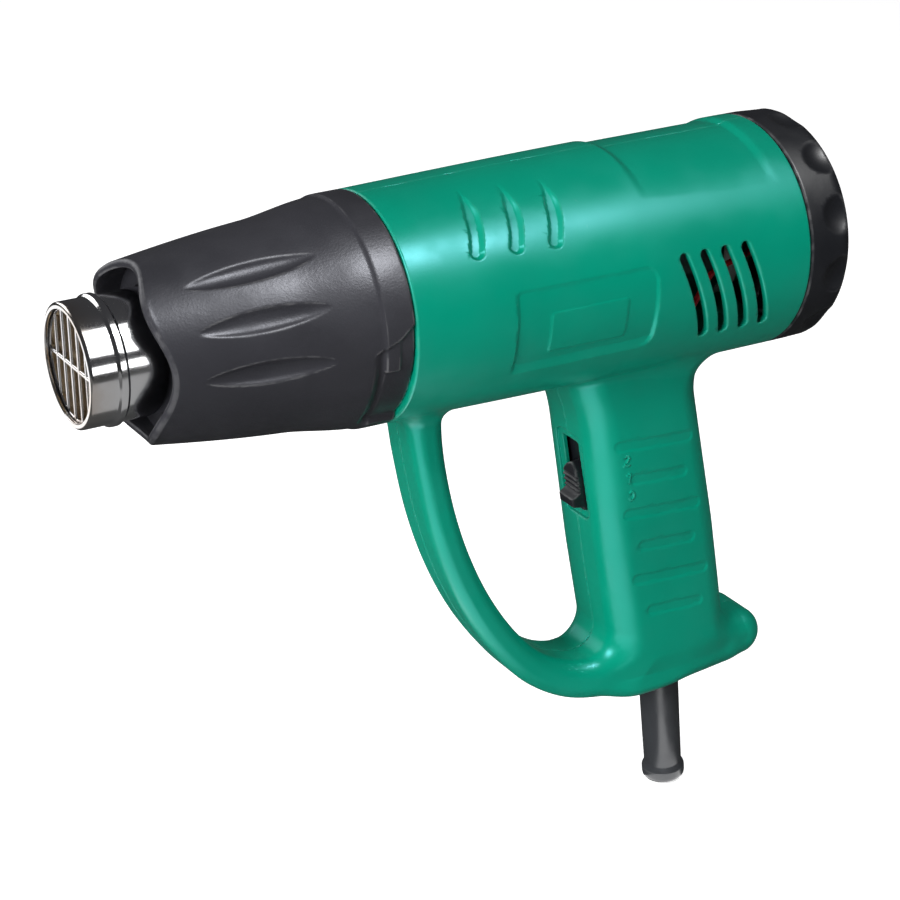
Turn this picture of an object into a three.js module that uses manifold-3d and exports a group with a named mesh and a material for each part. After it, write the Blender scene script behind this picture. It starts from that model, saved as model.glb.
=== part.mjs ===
// A hot air tool with a closed hand guard, built as separate pieces.
// Millimetres. The barrel lies along X with the nozzle toward -X, Z is up and the left side is -Y.
// The origin is the centre of the flat rear face that the tool can be stood on.
import * as THREE from "three";
import { mergeVertices } from "three/addons/utils/BufferGeometryUtils.js";
import Module from "manifold-3d";

// Lengths along the barrel, from the rear face forward
const capLength = 17;
const housingLength = 135;
const shieldLength = 71;
const nozzleReach = 18.4;

// Outside radii
const barrelRearRadius = 36.5;
const barrelFrontRadius = 34.2;
const barrelCrown = 0.5;
const shieldMouthRadius = 25.6;
const nozzleRadius = 17.7;

// Walls and fits
const housingWall = 2.4;
const capWall = 2.4;
const shieldWall = 2.2;
const nozzleWall = 0.8;
const clearance = 0.3;
const seamChamfer = 0.6;

// Spigots on the housing, with a groove for the bead inside the cap and the shield
const spigotLength = 8;
const beadSetback = 4.5;
const beadHeight = 1;
const beadWidth = 1.6;

// Rear cap
const capEdgeRadius = 5.4;
const capScallops = 14;
const scallopRadius = 9;
const scallopDepth = 1.3;
const intakeSlots = 14;
const intakeSlotWidth = 3;
const intakeInnerRadius = 12;
const intakeOuterRadius = 27.5;

// Heat shield
const shieldCollar = 9.5;
const shieldStep = 0.6;
const mouthLip = 2;
const mouthWave = 2;
const mouthLobes = 4;
const waveReach = 10;
const webSetback = 2.6;
const webThickness = 2;
const webGap = 0.7;
const dimplesPerSide = 3;
const dimpleFirstAngle = 33;
const dimplePitchAngle = 30.5;
const dimpleLength = 36;
const dimpleWidth = 6.8;
const dimpleDepth = 1.1;
const dimpleSetback = 30;
const notchLength = 11;
const notchTop = 2.5;
const notchBottom = -26;
const notchDepth = 1.1;

// Nozzle tube, its bead, its flange and the grille in its mouth
const lipWidth = 1.9;
const lipThickness = 1;
const nozzleBeadSetback = 9.4;
const nozzleBeadHeight = 0.8;
const nozzleBeadWidth = 2.8;
const flangeSetback = 18;
const flangeThickness = 1.2;
const coneLength = 15;
const coneEndRadius = 26;
const grilleThickness = 2;
const grilleRim = 1.2;
const grilleBars = 5;
const grillePitch = 5.2;
const grilleBarWidth = 1.1;

// Heater
const heaterBaseThickness = 4;
const heaterBaseRim = 5;
const heaterHubRadius = 7;
const heaterHubBore = 2.5;
const heaterSpokeWidth = 4;
const heaterSpokes = 4;
const formerThickness = 1.2;
const coilRadius = 11.6;
const coilWire = 1.4;
const coilTurns = 9;
const coilTail = 18;
const micaThickness = 0.6;
const cutoutRadius = 4.5;
const cutoutThickness = 4;
const cutoutHeight = 17;
const cutoutTab = 3;

// Motor and board, from the cap seam forward
const boardSetback = 7;
const boardThickness = 1.6;
const boardRadius = 16;
const bridgeSize = 10;
const bridgeDrop = 8;
const bridgeThickness = 3.5;
const bridgeSink = 0.5;
const postLength = 3;
const postRadius = 1.6;
const postSpacing = 24;
const endCapLength = 7;
const motorRadius = 18;
const motorLength = 46;
const motorWall = 1.6;
const magnetThickness = 3;
const magnetLength = 28;
const magnetAngle = 130;
const armatureLength = 24;
const armaturePoles = 5;
const armatureGap = 0.8;
const poleSlot = 2.2;
const poleRoot = 5;
const commutatorRadius = 4.2;
const commutatorLength = 9;
const brushLength = 6;
const brushWidth = 3;
const shaftRadius = 1.6;
const bushRadius = 4;
const bushLength = 5;
const motorScrewOffset = 10;

// Fan and the ring that carries the motor
const plateThickness = 2.5;
const plateRadius = 15;
const fanLength = 13;
const fanSetback = 4;
const fanBlades = 7;
const fanHubRadius = 9;
const fanTipGap = 0.8;
const bladeThickness = 1.4;
const bladeRootChord = 12;
const bladeTipChord = 17;
const bladeRootPitch = 56;
const bladeTipPitch = 33;
const ringWall = 3.4;
const ringOverhang = 3.5;
const ringSpokes = 5;
const spokeThickness = 2;
const spokeLength = 6;
const spokePitch = 25;
const ribDepth = 2.6;
const ribThickness = 2.4;
const leadRadius = 1;
const leadGrooveDepth = 2.7;

// Grip, whose axis leans back from the barrel's axis
const gripSetback = 51.4;
const gripLean = 9.7;
const gripDepth = 43.8;
const gripWidth = 34;
const gripLength = 148.5;
const gripRoundness = 2.8;
const gripFlare = 3;
const gripScrewInset = 8.5;
const gripScrewTop = 47;
const gripScrewRise = 47.5;

// Hand guard, foot and rear spur
const guardThickness = 10;
const guardWidth = 20;
const guardRoundness = 3.2;
const guardRootSetback = 16.5;
const footRise = 5.4;
const footThickness = 19;
const footWidth = 30;
const spurReach = 38.3;
const guardFootReach = 25;
const webRadius = 11;
const webWidth = 17;

// Moulded relief on the housing
const saddleFront = 54;
const saddleLength = 44.5;
const saddleDepth = 1.5;
const saddleAngle = 48;
const saddleBevel = 2.2;
const fingerGrooves = 3;
const fingerGrooveSetback = 25;
const fingerGroovePitch = 13;
const fingerGrooveTop = 15;
const fingerGrooveLow = 55;
const fingerGrooveDrift = 3.5;
const fingerGrooveWidth = 6.2;
const fingerGrooveDepth = 1.2;
const labelSetback = 53;
const labelLength = 49.5;
const labelTop = 9.4;
const labelBottom = -16;
const labelCorner = 4;
const labelDepth = 0.5;
const vents = 4;
const ventSetback = 24.5;
const ventPitch = 7.35;
const ventSlant = 10.5;
const ventTop = 10.4;
const ventBottom = -16.9;
const ventWidth = 2.4;
const gripGrooves = 6;
const gripGrooveFirst = 57;
const gripGroovePitch = 11.9;
const gripGrooveHeight = 3.6;
const gripGrooveLong = 29;
const gripGrooveShort = 21.5;
const gripGrooveTilt = 4;
const gripGrooveDepth = 0.7;

// Slide switch
const slotLow = -79.5;
const thumbLength = 16;
const thumbWidth = 10.6;
const thumbRise = 0.4;
const thumbNose = 2.6;
const thumbRibs = 4;
const switchTravel = 8;
const slotMargin = 0.4;
const recessDepth = 1.4;
const recessMargin = 2.6;
const bezelThickness = 2.4;
const bezelMargin = 4;
const shutterThickness = 1.4;
const shutterMargin = 1.6;
const shutterOverlap = 1;
const stemLength = 3.4;
const stemSize = 4;
const switchDepth = 17;
const switchWidth = 15;
const shelfThickness = 1.8;
const shelfDepth = 10;
const tabLength = 6;
const tabInset = 5;

// Cord sleeve and clamp
const sleeveSetback = 2.5;
const sleeveLean = 6;
const sleeveLength = 42;
const sleeveTopRadius = 6.7;
const sleeveEndRadius = 6.3;
const sleeveCollarRadius = 7.2;
const sleeveCollarLength = 4.5;
const sleeveBore = 4.1;
const sleeveFlangeRadius = 9;
const sleeveFlangeThickness = 2.5;
const sleeveSeat = 4;
const clampRise = 20.5;
const clampLength = 23;
const clampWidth = 6.5;
const clampThickness = 4;
const clampSpacing = 16;
const clampPlane = 1;

// Screws
const screwRadius = 1.5;
const screwHeadRadius = 3.1;
const screwHeadHeight = 2.2;
const screwSeat = 6.5;
const guardScrewDrop = 11;
const screwReach = 6.5;
const bossRadius = 4;
const smallScrewLength = 6;

// Facet counts
const roundSides = 28;
const shieldSides = 32;
const nozzleSides = 24;
const innerSides = 16;
const smallSides = 8;
const gripSides = 16;
const cavitySides = 12;
const guardSides = 10;
const guardSteps = 18;
const coilSteps = 8;

const wasm = await Module();
wasm.setup();
const weldDistance = 1e-4;
const { degToRad, lerp, clamp, mapLinear } = THREE.MathUtils;

// Closed geometry as a solid with its faces outward
function solid(geometry, matrix) {
  const bare = new THREE.BufferGeometry();
  bare.setAttribute("position", geometry.getAttribute("position").clone());
  if (geometry.index) bare.setIndex(geometry.index.clone());
  if (matrix) bare.applyMatrix4(matrix);
  const merged = mergeVertices(bare, weldDistance);
  const vertProperties = merged.attributes.position.array;
  const corners = [];
  for (let i = 0; i < merged.index.count; i += 3) {
    const [a, b, c] = merged.index.array.slice(i, i + 3);
    if (a !== b && b !== c && c !== a) corners.push(a, b, c);
  }
  const make = (list) => {
    return new wasm.Manifold(new wasm.Mesh({ numProp: 3, vertProperties, triVerts: Uint32Array.from(list) }));
  };
  const made = make(corners);
  return made.volume() < 0 ? make(corners.reverse()) : made;
}

const joined = (list) => list.reduce((sum, item) => sum.add(item));
const without = (body, list) => list.reduce((rest, item) => rest.subtract(item), body);

function box(x0, x1, y0, y1, z0, z1, matrix) {
  const block = new THREE.BoxGeometry(x1 - x0, y1 - y0, z1 - z0);
  block.translate((x0 + x1) / 2, (y0 + y1) / 2, (z0 + z1) / 2);
  return solid(block, matrix);
}

// Turns an outline of [x, radius] pairs round the X axis. An angle of 0 is up, and it grows to the left.
function revolve(outline, sides = roundSides, reshape = null) {
  const profile = outline.map(([x, radius]) => new THREE.Vector2(radius, x));
  const halfFacet = Math.PI / sides;
  const turned = new THREE.LatheGeometry(profile, sides, halfFacet).rotateZ(-Math.PI / 2);
  if (reshape) reshape(turned.getAttribute("position"));
  return solid(turned);
}

const ring = (outline, sides, reshape) => revolve([...outline, outline[0]], sides, reshape);

function rodAlongX(x0, x1, radius, y = 0, z = 0, sides = smallSides) {
  const rod = new THREE.CylinderGeometry(radius, radius, Math.abs(x1 - x0), sides).rotateZ(Math.PI / 2);
  return solid(rod.translate((x0 + x1) / 2, y, z));
}

function rodAlongY(x, z, radius, y0, y1, sides = smallSides) {
  const rod = new THREE.CylinderGeometry(radius, radius, Math.abs(y1 - y0), sides);
  return solid(rod.translate(x, (y0 + y1) / 2, z));
}

// Side-view shape (x, z) carried across from y0 to y1
function across(shape, y0, y1, curveSegments = 2, matrix = null) {
  const plate = new THREE.ExtrudeGeometry(shape, { depth: y1 - y0, bevelEnabled: false, curveSegments });
  plate.translate(0, 0, -y1).rotateX(Math.PI / 2);
  return solid(plate, matrix);
}

function slotShape(ax, az, bx, bz, width) {
  const heading = Math.atan2(bz - az, bx - ax);
  const quarter = Math.PI / 2;
  const shape = new THREE.Shape();
  shape.absarc(ax, az, width / 2, heading + quarter, heading + 3 * quarter, false);
  shape.absarc(bx, bz, width / 2, heading - quarter, heading + quarter, false);
  return shape;
}

function roundedShape(x0, x1, z0, z1, corner) {
  const quarter = Math.PI / 2;
  const shape = new THREE.Shape();
  shape.absarc(x1 - corner, z1 - corner, corner, 0, quarter, false);
  shape.absarc(x0 + corner, z1 - corner, corner, quarter, 2 * quarter, false);
  shape.absarc(x0 + corner, z0 + corner, corner, 2 * quarter, 3 * quarter, false);
  shape.absarc(x1 - corner, z0 + corner, corner, 3 * quarter, 4 * quarter, false);
  return shape;
}

const polygon = (points) => new THREE.Shape(points.map(([x, z]) => new THREE.Vector2(x, z)));

// Skin over a row of closed rings with the same number of points, with flat ends
function loft(rings, matrix = null) {
  const count = rings[0].length;
  const points = rings.flat();
  const corners = [];
  for (let row = 0; row + 1 < rings.length; row++) {
    for (let i = 0; i < count; i++) {
      const a = row * count + i;
      const b = row * count + ((i + 1) % count);
      corners.push(a, a + count, b + count, a, b + count, b);
    }
  }
  for (const [start, turned] of [[0, false], [(rings.length - 1) * count, true]]) {
    const centre = new THREE.Vector3();
    for (let i = 0; i < count; i++) centre.addScaledVector(points[start + i], 1 / count);
    const hub = points.push(centre) - 1;
    for (let i = 0; i < count; i++) {
      const a = start + i;
      const b = start + ((i + 1) % count);
      corners.push(...(turned ? [hub, b, a] : [hub, a, b]));
    }
  }
  const skin = new THREE.BufferGeometry().setFromPoints(points);
  skin.setIndex(corners);
  return solid(skin, matrix);
}

// Points of a rounded oblong: an exponent of 2 is an ellipse, and a higher one is squarer
function oblong(halfA, halfB, exponent, count) {
  const power = (value) => Math.sign(value) * Math.abs(value) ** (2 / exponent);
  return Array.from({ length: count }, (_, i) => {
    const turn = (2 * Math.PI * (i + 0.5)) / count;
    return [halfA * power(Math.cos(turn)), halfB * power(Math.sin(turn))];
  });
}

function tube(points, radius, sides, steps) {
  const section = new THREE.Shape();
  section.absarc(0, 0, radius, 0, 2 * Math.PI, false);
  const extrudePath = new THREE.CatmullRomCurve3(points);
  return solid(new THREE.ExtrudeGeometry(section, { steps, extrudePath, curveSegments: sides / 2 }));
}

// Materials
const finish = (color, roughness, metalness = 0) => {
  return new THREE.MeshStandardMaterial({ color, roughness, metalness });
};
const greenPlastic = finish(0x00806a, 0.35);
const greyPlastic = finish(0x4a494f, 0.5);
const blackPlastic = finish(0x1b1c20, 0.5);
const polishedSteel = finish(0xc9cdd2, 0.15, 1);
const plainSteel = finish(0x9a9c9f, 0.35, 1);
const darkSteel = finish(0x55575a, 0.45, 1);
const brass = finish(0xb8934a, 0.3, 1);
const copper = finish(0xb06a3c, 0.35, 1);
const ferrite = finish(0x2c2b2b, 0.8);
const mica = finish(0xb9a888, 0.6);
const ceramic = finish(0xe3dccd, 0.7);
const heaterWire = finish(0x7b6a5c, 0.5, 1);
const whiteNylon = finish(0xd9d8d2, 0.5);
const boardGreen = finish(0x2f5b36, 0.6);
const rubber = finish(0x202124, 0.8);
const redPvc = finish(0xb3202a, 0.5);
const bluePvc = finish(0x2a4f9c, 0.5);

const tool = new THREE.Group();
tool.name = "hot_air_tool";

function piece(name, shape, material, parent = tool) {
  const { vertProperties, triVerts } = shape.getMesh();
  const skin = new THREE.BufferGeometry();
  skin.setAttribute("position", new THREE.BufferAttribute(Float32Array.from(vertProperties), 3));
  skin.setIndex(new THREE.BufferAttribute(Uint32Array.from(triVerts), 1));
  const faceted = skin.toNonIndexed();
  faceted.computeVertexNormals();
  const mesh = new THREE.Mesh(faceted, material);
  mesh.name = name;
  parent.add(mesh);
}

// Places along the barrel
const capSeam = -capLength;
const gripTop = capSeam - gripSetback;
const shieldSeam = capSeam - housingLength;
const shieldMouth = shieldSeam - shieldLength;
const nozzleTip = shieldMouth - nozzleReach;
const barrelRadius = (x) => {
  const share = (x - capSeam) / (shieldSeam - capSeam);
  return lerp(barrelRearRadius, barrelFrontRadius, share) + barrelCrown * Math.sin(Math.PI * share);
};
const cavityRadius = (x) => barrelRadius(x) - housingWall;
const flatShare = Math.cos(Math.PI / innerSides);
const rearSpigotRadius = barrelRearRadius - capWall - clearance;
const frontSpigotRadius = barrelFrontRadius - shieldWall - clearance;

// Drive unit, from the rear
const boardRear = capSeam - boardSetback;
const boardFront = boardRear - boardThickness;
const endCapRear = boardFront - postLength;
const endCapFront = endCapRear - endCapLength;
const canRear = endCapFront - clearance;
const canFront = canRear - motorLength;
const plateRear = canFront - clearance;
const plateFront = plateRear - plateThickness;
const fanRear = plateFront - fanSetback;
const fanFront = fanRear - fanLength;
const ringRear = plateRear + ringOverhang;
const ringFront = fanFront - ringOverhang;
const ringOuter = (x) => cavityRadius(x) - clearance;
const ringInner = ringOuter(ringFront) - ringWall;
const fanRadius = ringInner * flatShare - fanTipGap;

// Heater, from the front
const flangeFront = shieldSeam + flangeSetback;
const flangeRear = flangeFront + flangeThickness;
const baseFront = flangeRear + clearance;
const baseRear = baseFront + heaterBaseThickness;
const flangeRadius = cavityRadius(flangeFront) * flatShare - clearance;
const tubeInner = nozzleRadius - nozzleWall;
const grilleFront = nozzleTip + lipThickness + clearance;
const grilleRear = grilleFront + grilleThickness;
const formerFront = grilleRear + clearance;
const formerRear = baseFront - clearance;

// Grip frame: u points to the rear, w points up along the grip's axis
const gripFrame = new THREE.Matrix4().makeRotationY(-degToRad(gripLean)).setPosition(gripTop, 0, 0);
const gripPoint = (u, w, y = 0) => new THREE.Vector3(u, y, w).applyMatrix4(gripFrame);
const footDrop = gripLength * Math.cos(degToRad(gripLean)) - footRise;
const footPoint = gripPoint(0, -footDrop / Math.cos(degToRad(gripLean)));
const spurTip = footPoint.x + spurReach;
const guardFoot = footPoint.x - guardFootReach;
const guardRoot = new THREE.Vector3(shieldSeam + guardRootSetback, 0, 4 - barrelFrontRadius);

// Grip sections from the barrel down, as [share of the length, half depth, half width, shift to the rear]
function gripStations(inset) {
  const depth = gripDepth / 2 - inset;
  const width = gripWidth / 2 - inset;
  const bottom = gripLength - inset;
  const below = barrelRearRadius + 1;
  return [
    [below - 17, depth + gripFlare, width, gripFlare / 2],
    [below, depth + gripFlare * 0.6, width, gripFlare / 2],
    [below + 4, depth, width, gripFlare * 0.2],
    [below + 10, depth - 1.1, width, 0],
    [lerp(below, bottom, 0.3), depth - 0.6, width, 0],
    [lerp(below, bottom, 0.52), depth, width, 0],
    [lerp(below, bottom, 0.75), depth - 0.2, width, 0],
    [bottom - 12, depth - 0.8, width - 0.5, 0],
    [bottom - 5, depth - 1.8, width - 1.4, 0],
    [bottom, depth - 4.5, width - 4, 0],
  ];
}

function gripBody(inset, sides = gripSides) {
  const rings = gripStations(inset).map(([below, halfDepth, halfWidth, shift]) => {
    const section = oblong(halfDepth, halfWidth, gripRoundness, sides);
    return section.map(([u, y]) => new THREE.Vector3(u + shift, y, -below));
  });
  return loft(rings, gripFrame);
}

// Hand guard from the barrel round to the rear spur: one sweep with changing thickness and width
function guardBody() {
  const place = (along, down) => {
    return new THREE.Vector3(lerp(guardRoot.x, guardFoot, along), 0, lerp(guardRoot.z, -footDrop, down));
  };
  const spurRoot = footPoint.x + 20;
  const stations = [
    [place(0, 0), guardThickness + 6, guardWidth + 2],
    [place(0.01, 0.07), guardThickness + 2, guardWidth],
    [place(0.03, 0.18), guardThickness + 0.3, guardWidth],
    [place(0.09, 0.36), guardThickness, guardWidth],
    [place(0.178, 0.523), guardThickness, guardWidth],
    [place(0.302, 0.68), guardThickness, guardWidth],
    [place(0.457, 0.818), guardThickness, guardWidth],
    [place(0.61, 0.914), guardThickness + 1, guardWidth + 1],
    [place(0.8, 0.98), lerp(guardThickness, footThickness, 0.5), lerp(guardWidth, footWidth, 0.35)],
    [place(1, 0.995), footThickness - 3, lerp(guardWidth, footWidth, 0.8)],
    [new THREE.Vector3(footPoint.x, 0, 1 - footDrop), footThickness, footWidth],
    [new THREE.Vector3(spurRoot, 0, 2.6 - footDrop), footThickness + 1, footWidth - 3],
    [new THREE.Vector3(lerp(spurRoot, spurTip, 0.6), 0, 1.8 - footDrop), footThickness - 3.5, footWidth - 9],
    [new THREE.Vector3(spurTip, 0, -footDrop), footThickness - 11, footWidth - 20],
  ];
  const path = new THREE.CatmullRomCurve3(stations.map(([centre]) => centre));
  const spans = stations.map(([, thick, wide]) => new THREE.Vector3(thick, wide, 0));
  const sizes = new THREE.CatmullRomCurve3(spans);
  const rings = Array.from({ length: guardSteps + 1 }, (_, step) => {
    const share = step / guardSteps;
    const centre = path.getPoint(share);
    const heading = path.getTangent(share);
    const size = sizes.getPoint(share);
    const section = oblong(size.x / 2, size.y / 2, guardRoundness, guardSides);
    return section.map(([a, y]) => new THREE.Vector3(centre.x - a * heading.z, y, centre.z + a * heading.x));
  });
  return loft(rings);
}

// Rounded corner where the guard runs into the front of the grip
function guardWeb() {
  const front = gripPoint(1 - gripDepth / 2, -footDrop + footThickness / 2 + webRadius);
  const floor = -footDrop + footThickness / 2 - 1;
  const shape = new THREE.Shape();
  shape.moveTo(front.x + webRadius / 2, front.z);
  shape.lineTo(front.x, front.z);
  shape.quadraticCurveTo(front.x + 3, floor, front.x - webRadius, floor);
  shape.lineTo(front.x - webRadius, floor - 4);
  shape.lineTo(front.x + webRadius / 2, floor - 4);
  return across(shape, -webWidth / 2, webWidth / 2, 5);
}

function spigot(seam, heading, radius) {
  const groove = seam + heading * beadSetback;
  const half = beadWidth / 2 + clearance;
  return [
    [seam, radius],
    [groove - heading * half, radius],
    [groove, radius - beadHeight],
    [groove + heading * half, radius],
    [seam + heading * spigotLength, radius],
  ];
}

function barrelBody(inset = 0) {
  const crowned = [0, 0.2, 0.5, 0.8, 1];
  return revolve([
    [capSeam + spigotLength, 0],
    ...spigot(capSeam, 1, rearSpigotRadius).reverse(),
    ...crowned.map((share) => lerp(capSeam, shieldSeam, share)).map((x) => [x, barrelRadius(x) - inset]),
    ...spigot(shieldSeam, -1, frontSpigotRadius),
    [shieldSeam - spigotLength, 0],
  ]);
}

// Inside of the barrel, with drafted ribs that trap the fan ring and the nozzle's flange
function barrelCavity() {
  const past = 1;
  const rearBore = rearSpigotRadius - housingWall;
  const frontBore = frontSpigotRadius - housingWall;
  const behind = (face) => [
    [face + ribThickness, cavityRadius(face + ribThickness)],
    [face, cavityRadius(face) - ribDepth],
    [face, cavityRadius(face)],
  ];
  const before = (face) => [
    [face, cavityRadius(face)],
    [face, cavityRadius(face) - ribDepth],
    [face - ribThickness, cavityRadius(face - ribThickness)],
  ];
  return revolve([
    [capSeam + spigotLength + past, 0],
    [capSeam + spigotLength + past, rearBore],
    [capSeam - housingWall, rearBore],
    [capSeam - housingWall, cavityRadius(capSeam - housingWall)],
    ...behind(ringRear + clearance),
    ...before(ringFront - clearance),
    ...behind(baseRear + clearance),
    ...before(flangeFront - clearance),
    [shieldSeam + housingWall, cavityRadius(shieldSeam + housingWall)],
    [shieldSeam + housingWall, frontBore],
    [shieldSeam - spigotLength - past, frontBore],
    [shieldSeam - spigotLength - past, 0],
  ], innerSides);
}

// Way for the heater's lead under the fan ring and past the ribs
function leadChannel() {
  const half = leadRadius + clearance * 2;
  const floor = cavityRadius(ringFront);
  return box(baseRear - clearance, ringRear + 6, -half, half, -floor, -floor + ribDepth + 2);
}

// Flattened top of the rear barrel, on a larger arc that meets the round barrel at a crease
function saddleCut() {
  const front = capSeam - saddleFront;
  const rear = front + saddleLength;
  const radius = barrelRadius((front + rear) / 2);
  const flat = radius - saddleDepth;
  const crease = Math.cos(degToRad(saddleAngle));
  const drop = (radius ** 2 - flat ** 2) / (2 * (flat - radius * crease));
  const low = radius * crease - 4;
  const high = barrelRearRadius + 2;
  const shape = polygon([
    [front - saddleBevel, high],
    [front, flat],
    [front, low],
    [rear, low],
    [rear, flat - 1],
    [rear + saddleBevel, high],
  ]);
  const top = rodAlongX(front - 10, rear + 10, flat + drop, 0, -drop, roundSides);
  return across(shape, -barrelRearRadius, barrelRearRadius).subtract(top);
}

// Tapered grooves for the fingers of the second hand, down each side of the front barrel
function fingerGroove(index, side) {
  const steps = [[0, 0.12], [0.8, 1], [1, 0.4]];
  const rings = steps.map(([share, size]) => {
    const angle = degToRad(lerp(fingerGrooveTop, fingerGrooveLow, share));
    const x = shieldSeam + fingerGrooveSetback + index * fingerGroovePitch;
    const centre = x + fingerGrooveDrift * (0.5 - share);
    const section = oblong((fingerGrooveWidth / 2) * size, fingerGrooveDepth * (0.3 + 0.7 * size), 2, 5);
    return section.map(([along, out]) => {
      const radius = barrelRadius(x) + out;
      return new THREE.Vector3(centre + along, side * radius * Math.sin(angle), radius * Math.cos(angle));
    });
  });
  return loft(rings);
}

const sideRange = (side, inner, outer) => (side < 0 ? [-outer, -inner] : [inner, outer]);

function labelRecess(side) {
  const rear = capSeam - labelSetback;
  const shape = roundedShape(rear - labelLength, rear, labelBottom, labelTop, labelCorner);
  const [y0, y1] = sideRange(side, barrelFrontRadius / 2, barrelRearRadius + 2);
  return across(shape, y0, y1, 1).subtract(barrelBody(labelDepth));
}

function ventSlot(index, side) {
  const top = capSeam - ventSetback - index * ventPitch;
  const shape = slotShape(top, ventTop, top + ventSlant, ventBottom, ventWidth);
  const [y0, y1] = sideRange(side, motorRadius + clearance, barrelRearRadius + 2);
  return across(shape, y0, y1, 1);
}

function gripGroove(index, side) {
  const length = index % 2 ? gripGrooveShort : gripGrooveLong;
  const z = -gripGrooveFirst - index * gripGroovePitch;
  const centre = gripPoint(0, z).x;
  const half = (length - gripGrooveHeight) / 2;
  const fall = half * Math.sin(degToRad(gripGrooveTilt));
  const shape = slotShape(centre - half, z + fall, centre + half, z - fall, gripGrooveHeight);
  const [y0, y1] = sideRange(side, gripWidth / 4, gripWidth / 2 + 2);
  return across(shape, y0, y1, 1);
}

// Slide switch: places along the grip's axis and back from its front face
const slotHigh = slotLow + thumbLength + switchTravel + 2 * slotMargin;
const gripFront = 0.4 - gripDepth / 2;
const recessFloor = gripFront + recessDepth;
const bezelBack = recessFloor + bezelThickness;
const shutterFront = bezelBack + clearance;
const shutterBack = shutterFront + shutterThickness;
const switchFront = shutterBack + clearance;
const slotHalf = thumbWidth / 2 + slotMargin;
const shutterHalf = slotHalf + shutterMargin;
const shutterLow = slotLow - switchTravel - shutterOverlap;
const shutterHigh = slotHigh + shutterOverlap;

function switchBezel() {
  const half = shutterHalf + bezelMargin / 2;
  const low = slotLow - bezelMargin;
  const high = slotHigh + bezelMargin;
  return box(gripFront + 0.5, bezelBack, -half, half, low, high, gripFrame);
}

function switchCuts() {
  const half = slotHalf + recessMargin;
  const low = slotLow - recessMargin;
  const high = slotHigh + recessMargin;
  const pocket = shutterHalf + clearance;
  const pocketHigh = shutterHigh + switchTravel + clearance;
  return [
    across(roundedShape(gripFront - 6, recessFloor, low, high, 1), -half, half, 2, gripFrame),
    box(gripFront - 6, bezelBack + 1, -slotHalf, slotHalf, slotLow, slotHigh, gripFrame),
    box(bezelBack, shutterBack + clearance, -pocket, pocket, shutterLow - clearance, pocketHigh, gripFrame),
  ];
}

// Shelves in each half that hold the switch body by its sides
function switchShelves(side) {
  const [y0, y1] = sideRange(side, switchWidth / 2 + clearance, gripWidth / 2);
  const levels = [slotLow + 3, slotHigh - 3];
  return levels.map((level) => {
    const front = switchFront + 3;
    return box(front, front + shelfDepth, y0, y1, level, level + shelfThickness, gripFrame);
  });
}

// Housing screws, all driven from the right
const screwPlaces = [
  new THREE.Vector3(guardRoot.x + 1.2, 0, -barrelFrontRadius - guardScrewDrop),
  new THREE.Vector3(lerp(guardRoot.x, guardFoot, 0.64), 0, lerp(guardRoot.z, -footDrop, 0.917)),
  gripPoint(gripDepth / 2 - gripScrewInset, -gripScrewTop),
  gripPoint(gripDepth / 2 - gripScrewInset, gripScrewRise - gripLength),
  new THREE.Vector3(footPoint.x - 20, 0, 2 - footDrop),
  new THREE.Vector3(footPoint.x + 23, 0, 1.5 - footDrop),
];

// Cord sleeve frame: its own lean, with z = 0 at the underside of the foot
const footUnderside = 1 - footDrop - footThickness / 2;
const sleeveX = footPoint.x + sleeveSetback;
const sleeveFrame = new THREE.Matrix4().makeRotationY(-degToRad(sleeveLean));
sleeveFrame.setPosition(sleeveX, 0, footUnderside);

function sleeveCuts() {
  const past = 4;
  const standing = (radius, z0, z1) => {
    const rod = new THREE.CylinderGeometry(radius, radius, z1 - z0, innerSides).rotateX(Math.PI / 2);
    return solid(rod.translate(0, 0, (z0 + z1) / 2), sleeveFrame);
  };
  return [
    standing(sleeveTopRadius + clearance, -past, sleeveSeat + 1),
    standing(sleeveFlangeRadius + clearance, sleeveSeat, sleeveSeat + 12),
  ];
}

const clampHeight = gripLength - clampRise;
const clampPlaces = [-1, 1].map((end) => gripPoint((end * clampSpacing) / 2, -clampHeight));

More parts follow.
